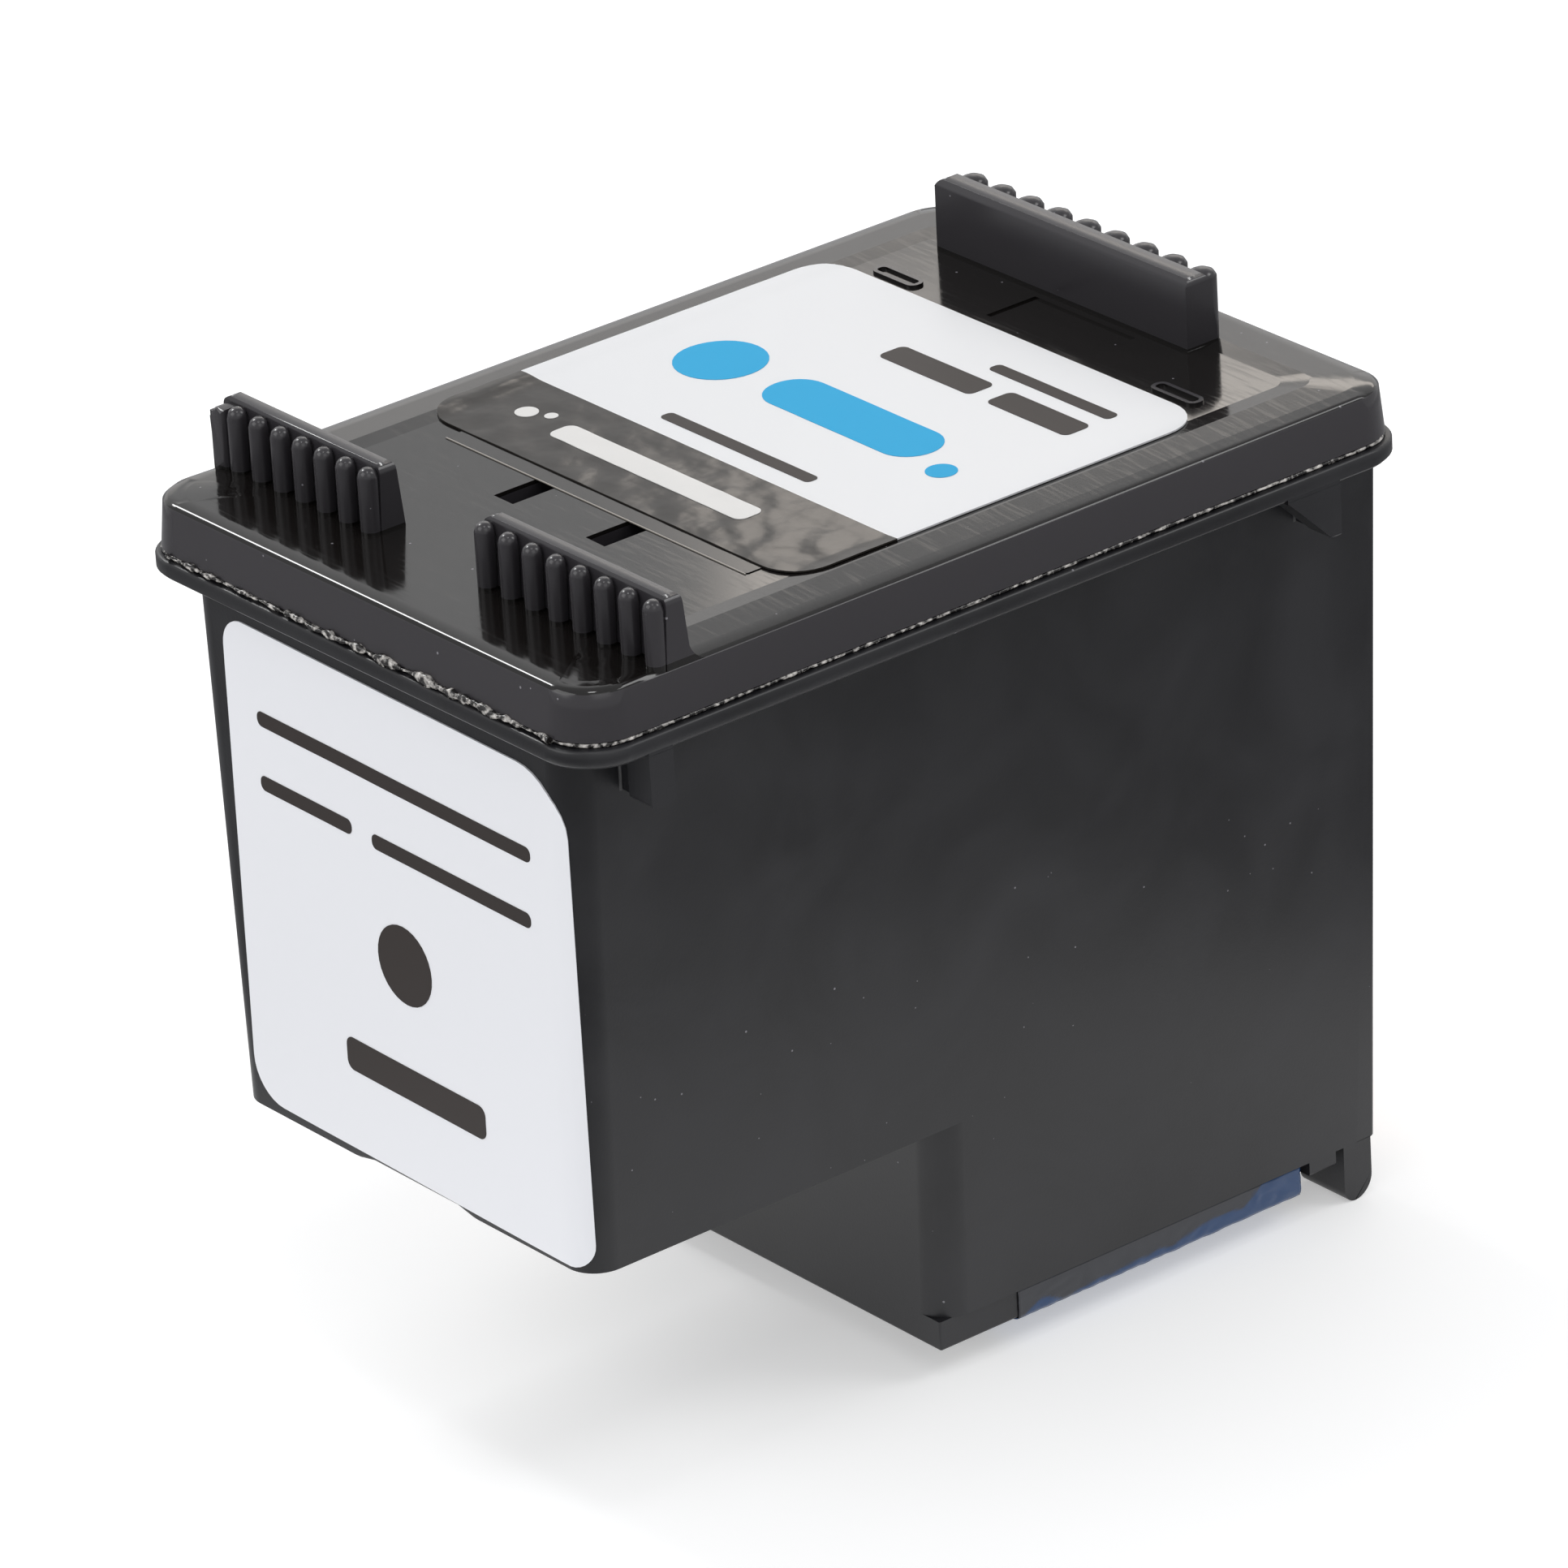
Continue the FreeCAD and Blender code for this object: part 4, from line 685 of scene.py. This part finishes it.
def make_tape():
    """Blue film over the nozzles, creased where it was pressed round the base."""
    rows, columns = TAPE_ROWS, TAPE_COLUMNS
    y0, y1 = TAPE_SPAN_Y
    whole = sum((b - a).length for a, b in zip(TAPE_PATH, TAPE_PATH[1:]))
    verts, off = [], []
    for lift in (0.0, TAPE_THICK):
        for j in range(columns):
            y = y0 + (y1 - y0) * j / (columns - 1)
            for i in range(rows):
                far = whole * i / (rows - 1)
                down = min(far, whole - far)
                free = tape_stands_off(down, y)
                verts.append(tape_point(far, y, TAPE_STANDS + lift + tape_crease(down, y, free)))
                off.append(free)
    faces = []
    layer = rows * columns
    for j in range(columns - 1):
        for i in range(rows - 1):
            a = j * rows + i
            faces.append((a, a + 1, a + rows + 1, a + rows))
            faces.append((layer + a + rows, layer + a + rows + 1, layer + a + 1, layer + a))
    rim = [j * rows for j in range(columns)]
    rim += [(columns - 1) * rows + i for i in range(1, rows)]
    rim += [j * rows + rows - 1 for j in range(columns - 2, -1, -1)]
    rim += [i for i in range(rows - 2, 0, -1)]
    faces += [(a, b, layer + b, layer + a) for a, b in zip(rim, rim[1:] + rim[:1])]
    mesh = solid_mesh("nozzle_tape_film", verts, faces)
    mesh.attributes.new("stands_off", "FLOAT", "POINT").data.foreach_set("value", off)
    settle(make_object("nozzle_tape_film", mesh, BLUE_TAPE), "blue_film", "nozzle_tape")


def seam_tree():
    """Geometry Nodes: a bead of uneven thickness along a path, ragged where more was squeezed out."""
    tree = bpy.data.node_groups.new("squeezed_bead", "GeometryNodeTree")
    face = tree.interface
    face.new_socket(name="Path", in_out="INPUT", socket_type="NodeSocketGeometry")
    defaults = {"Thickness": 0.1 * MM, "Raggedness": 0.2 * MM, "Grain": 0.8 * MM, "Seed": 4.0}
    for name, default in defaults.items():
        face.new_socket(name=name, in_out="INPUT", socket_type="NodeSocketFloat").default_value = default
    face.new_socket(name="Finish", in_out="INPUT", socket_type="NodeSocketMaterial")
    face.new_socket(name="Bead", in_out="OUTPUT", socket_type="NodeSocketGeometry")
    source = add_node(tree, "NodeGroupInput").outputs
    curve = add_node(tree, "GeometryNodeMeshToCurve", {"Mesh": source["Path"]}).outputs[0]
    place = add_node(tree, "GeometryNodeInputPosition").outputs[0]
    scale = calculate(tree, 1.0, source["Grain"], "DIVIDE")
    rough = add_node(tree, "ShaderNodeTexNoise", {"Vector": place, "W": source["Seed"], "Scale": scale,
                                                  "Detail": 3.0}, noise_dimensions="4D")
    extra = calculate(tree, stretch(tree, rough.outputs["Fac"], 0.42, 0.75), source["Raggedness"], "MULTIPLY")
    radius = calculate(tree, extra, source["Thickness"], "ADD")
    swing = add_node(tree, "ShaderNodeTexNoise", {"Vector": place, "W": 9.0, "Scale": scale, "Detail": 2.0},
                     noise_dimensions="4D")
    middle = add_node(tree, "ShaderNodeVectorMath", {0: swing.outputs["Color"], 1: (0.5, 0.5, 0.5)},
                      operation="SUBTRACT")
    shift = add_node(tree, "ShaderNodeVectorMath", {0: middle.outputs[0], "Scale": source["Raggedness"]},
                     operation="SCALE")
    moved = add_node(tree, "GeometryNodeSetPosition", {"Geometry": curve, "Offset": shift.outputs[0]})
    profile = add_node(tree, "GeometryNodeCurvePrimitiveCircle", {"Resolution": 6, "Radius": 1.0})
    bead = add_node(tree, "GeometryNodeCurveToMesh", {"Curve": moved.outputs[0], "Scale": radius,
                                                      "Profile Curve": profile.outputs[0], "Fill Caps": True})
    real = add_node(tree, "GeometryNodeRealizeInstances", {"Geometry": bead.outputs[0]})
    painted = add_node(tree, "GeometryNodeSetMaterial", {"Geometry": real.outputs[0],
                                                         "Material": source["Finish"]})
    add_node(tree, "NodeGroupOutput", {0: painted.outputs[0]})
    return tree


def make_bead(name, path, closed, tree, thick_mm, ragged_mm, grain_mm, seed):
    """A bead along a path in millimetres: the Geometry Nodes tree is run and its result kept as a mesh."""
    count = len(path)
    mesh = bpy.data.meshes.new(name)
    links = [(i, (i + 1) % count) for i in range(count if closed else count - 1)]
    mesh.from_pydata([Vector(spot) * MM for spot in path], links, [])
    piece = make_object(name, mesh, None)
    step = piece.modifiers.new(tree.name, "NODES")
    step.node_group = tree
    values = {"Thickness": thick_mm * MM, "Raggedness": ragged_mm * MM, "Grain": grain_mm * MM,
              "Seed": seed, "Finish": FLASH}
    for item in tree.interface.items_tree:
        if item.in_out == "INPUT" and item.name in values:
            step[item.identifier] = values[item.name]
    return bake_modifiers(piece)


def make_seam():
    """The bright ragged line between lid and flange, with torn flakes along the front."""
    loop = stepped(outline(-SEAM_HALF_X, SEAM_HALF_X, -SEAM_HALF_Y, SEAM_HALF_Y, SEAM_ROUND, steps=14),
                   SEAM_PITCH)
    tree = seam_tree()
    bead = make_bead("seam_bead", [(x, y, SEAM_Z) for x, y in loop], True, tree, 0.075, 0.08, 0.9, 4.0)
    settle(bead, "seam_resin", "seam_adhesive")
    front = sorted(x for x, y in loop if y < SEAM_FRONT_Y)
    # Name, first and last step from the left, thickness, raggedness, grain and seed
    flakes = (
        ("thin_flash", 0, 70, 0.03, 0.24, 1.1, 2.0),
        ("thick_flash", 60, 150, 0.06, 0.42, 1.6, 7.0),
        ("torn_flash_end", 140, 190, 0.03, 0.34, 1.2, 11.0),
    )
    for name, first, last, *sizes in flakes:
        flake = make_bead(name, [(x, FLASH_Y, FLASH_Z) for x in front[first:last]], False, tree, *sizes)
        for vert in flake.data.vertices:
            vert.co.y = max(vert.co.y, FLASH_LIMIT_Y * MM)
        settle(flake, "seam_resin")


def make_traces():
    """Copper traces that show through the circuit on the rear wall, one from each contact to the bend."""
    traces, half_span, half_wide, low, high = 36, 7.6, 0.07, 0.09, 0.112
    bend_z, fan_from_z, fan_to_z, top_z, row_pitch, rows = 2.6, 11.5, 14.2, 33.5, 3.3, 6
    verts, faces = [], []
    for column in range(traces):
        x = -half_span + 2 * half_span * column / (traces - 1)
        spread = x * 1.35 if abs(x) > 2 else x
        path = [(x, bend_z), (x, fan_from_z), (spread, fan_to_z), (spread, top_z - (column % rows) * row_pitch)]
        for (ax, az), (bx, bz) in zip(path, path[1:]):
            first = len(verts)
            corners = ((ax - half_wide, az), (ax + half_wide, az), (bx + half_wide, bz), (bx - half_wide, bz))
            verts += [(px, rear_wall(pz) + lift, pz) for px, pz in corners for lift in (low, high)]
            quads = ((0, 2, 4, 6), (7, 5, 3, 1), (0, 1, 3, 2), (2, 3, 5, 4), (4, 5, 7, 6), (6, 7, 1, 0))
            faces += [[first + i for i in quad] for quad in quads]
    mesh = solid_mesh("circuit_traces", verts, faces, smooth=False)
    settle(make_object("circuit_traces", mesh, COPPER_UNDER_FILM), "flex_film")


def paint_nodes():
    """The CAD nodes that keep their own shape take their materials."""
    finishes = {
        "foam_block": FOAM, "filter_screen": STEEL_MESH, "printhead_die": SILICON, "nozzle_plate": GOLD,
        "die_adhesive": RESIN_BLACK, "encapsulant_beads": RESIN_BLACK, "flex_circuit": POLYIMIDE,
        "contact_pads": GOLD,
    }
    for node, material in finishes.items():
        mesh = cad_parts[node].data
        mesh.materials.clear()
        mesh.materials.append(material)


def level_directions():
    """The view's level directions: away from the camera, and to its right."""
    return (Vector((-math.sin(VIEW_YAW), math.cos(VIEW_YAW), 0)),
            Vector((math.cos(VIEW_YAW), math.sin(VIEW_YAW), 0)))


def make_stage():
    """A white floor and backdrop in one sweep, in metres."""
    near, far, sweep, top, half_wide = -1.6, 1.4, 0.5, 2.4, 2.4
    away, across = level_directions()
    profile = [(near, 0.0), (far, 0.0)]
    profile += arc((far, sweep), sweep, [270 + 7.5 * step for step in range(1, 13)])
    profile.append((far + sweep, top))
    verts = [away * d + across * w + Vector((0, 0, h)) for d, h in profile for w in (-half_wide, half_wide)]
    faces = [(2 * i, 2 * i + 1, 2 * i + 3, 2 * i + 2) for i in range(len(profile) - 1)]
    mesh = bpy.data.meshes.new("studio_floor")
    mesh.from_pydata(verts, [], faces)
    for polygon in mesh.polygons:
        polygon.use_smooth = True
    white = plain_finish("lit_white_acrylic", "#dddddd", 0.85, grain_mm=2.0, glow=0.4)
    make_object("studio_floor", mesh, white)


def make_light(name, spot, aim, size, radiance, colour=WHITE):
    """A soft box: its power follows from how bright its face is; the camera does not see it."""
    data = bpy.data.lights.new(name, "AREA")
    data.shape = "RECTANGLE"
    data.size, data.size_y = size
    data.energy = math.pi * size[0] * size[1] * radiance
    data.color = hex_colour(colour)[:3]
    made = bpy.data.objects.new(name, data)
    bpy.context.scene.collection.objects.link(made)
    made.location = spot
    made.rotation_euler = (Vector(aim) - Vector(spot)).to_track_quat("-Z", "Y").to_euler()
    made.visible_camera = False


def make_lights():
    """Studio light: key, top and fill, two boxes behind that the lid mirrors, and two small edge lights."""
    world = bpy.data.worlds.new("studio")
    world.use_nodes = True
    sky = world.node_tree.nodes["Background"].inputs
    sky["Color"].default_value = hex_colour(SKY_WHITE)
    sky["Strength"].default_value = 0.62
    bpy.context.scene.world = world
    lid_top = Vector((0, 0, 0.045))
    make_light("key_front_left", (-0.25, -0.75, 0.65), (0, 0, 0.03), (0.7, 0.6), 1.8)
    make_light("top_small", (0.1, -0.1, 0.8), (0, 0, 0), (0.11, 0.11), 11.0)
    make_light("fill_right", (0.75, -0.25, 0.7), (0, 0, 0), (0.6, 0.6), 0.8)
    make_light("edge_left", (-0.6, -0.02, 0.56), lid_top, (0.17, 0.17), 17.0)
    make_light("edge_rear_right", (0.43, 0.554, 0.75), lid_top, (0.35, 0.35), 4.0)
    # The boxes behind: lowest and highest angle over the lid, left and right edge in metres, radiance
    distance = 0.75
    away, across = level_directions()
    for name, low, high, left, right, radiance in (("back_low_box", 8.0, 21.5, -0.5, 0.5, 0.25),
                                                   ("back_right_box", 22.8, 28.0, -0.005, 0.5, 2.6)):
        foot, head = (distance * math.tan(math.radians(angle)) for angle in (low, high))
        spot = lid_top + away * distance + across * (left + right) / 2 + Vector((0, 0, (foot + head) / 2))
        make_light(name, spot, spot - away, (right - left, head - foot), radiance, WARM_WHITE)


def make_flag():
    """A grey card flat on the table round the object: only mirror-like surfaces see it, as in a studio."""
    steps, inner, outer, height = 48, 52.0, 900.0, 0.05
    circles = [arc((0, 0), radius, [360 * step / steps for step in range(steps)]) for radius in (inner, outer)]
    verts = [Vector((x, y, height)) * MM for circle in circles for x, y in circle]
    faces = [(i, (i + 1) % steps, steps + (i + 1) % steps, steps + i) for i in range(steps)]
    card = bpy.data.meshes.new("black_flag")
    card.from_pydata(verts, [], faces)
    flag = make_object("black_flag", card, plain_finish("grey_card", "#8f8f91", 0.9))
    flag.visible_camera = False
    flag.visible_diffuse = False
    flag.visible_shadow = False
    flag.visible_transmission = False


def make_camera():
    """The photograph's viewpoint: a long lens from the front right, tipped down and rolled a little."""
    yaw, pitch, roll = VIEW_YAW, VIEW_PITCH, VIEW_ROLL
    ahead = Vector((-math.sin(yaw) * math.cos(pitch), math.cos(yaw) * math.cos(pitch), -math.sin(pitch)))
    level = level_directions()[1]
    drop = ahead.cross(level)
    right = level * math.cos(roll) + drop * math.sin(roll)
    down = drop * math.cos(roll) - level * math.sin(roll)
    data = bpy.data.cameras.new("camera")
    data.sensor_width = SENSOR_MM
    data.lens = FOCAL_PIXELS / FRAME_PIXELS * SENSOR_MM
    data.clip_start, data.clip_end = 0.05, 20
    camera = bpy.data.objects.new("camera", data)
    bpy.context.scene.collection.objects.link(camera)
    turn = Matrix((right, -down, -ahead)).transposed().to_4x4()
    camera.matrix_world = Matrix.Translation(Vector(CAMERA_SPOT) * MM) @ turn
    bpy.context.scene.camera = camera


settle(softened_copy("pen_body", "body_moulding", BODY, 0.14, with_tighter_rear_corners),
       "body_plastic", "pen_body")
settle(softened_copy("lid", "lid_moulding", LID, 0.12, without_front_ridge,
                     crease_above_z=CREASES_ABOVE_Z, cut_at=CROWN_CUT_Y), "lid_plastic", "lid")
make_grip_flank_blends()
make_left_grip_end()
make_tab_roots()
make_top_label()
make_end_label()
make_seal_film()
make_tape()
make_seam()
make_traces()
paint_nodes()
make_stage()
make_flag()
make_lights()
make_camera()
# The display keeps each colour as it is lit, with no film curve over it
bpy.context.scene.view_settings.view_transform = "Standard"
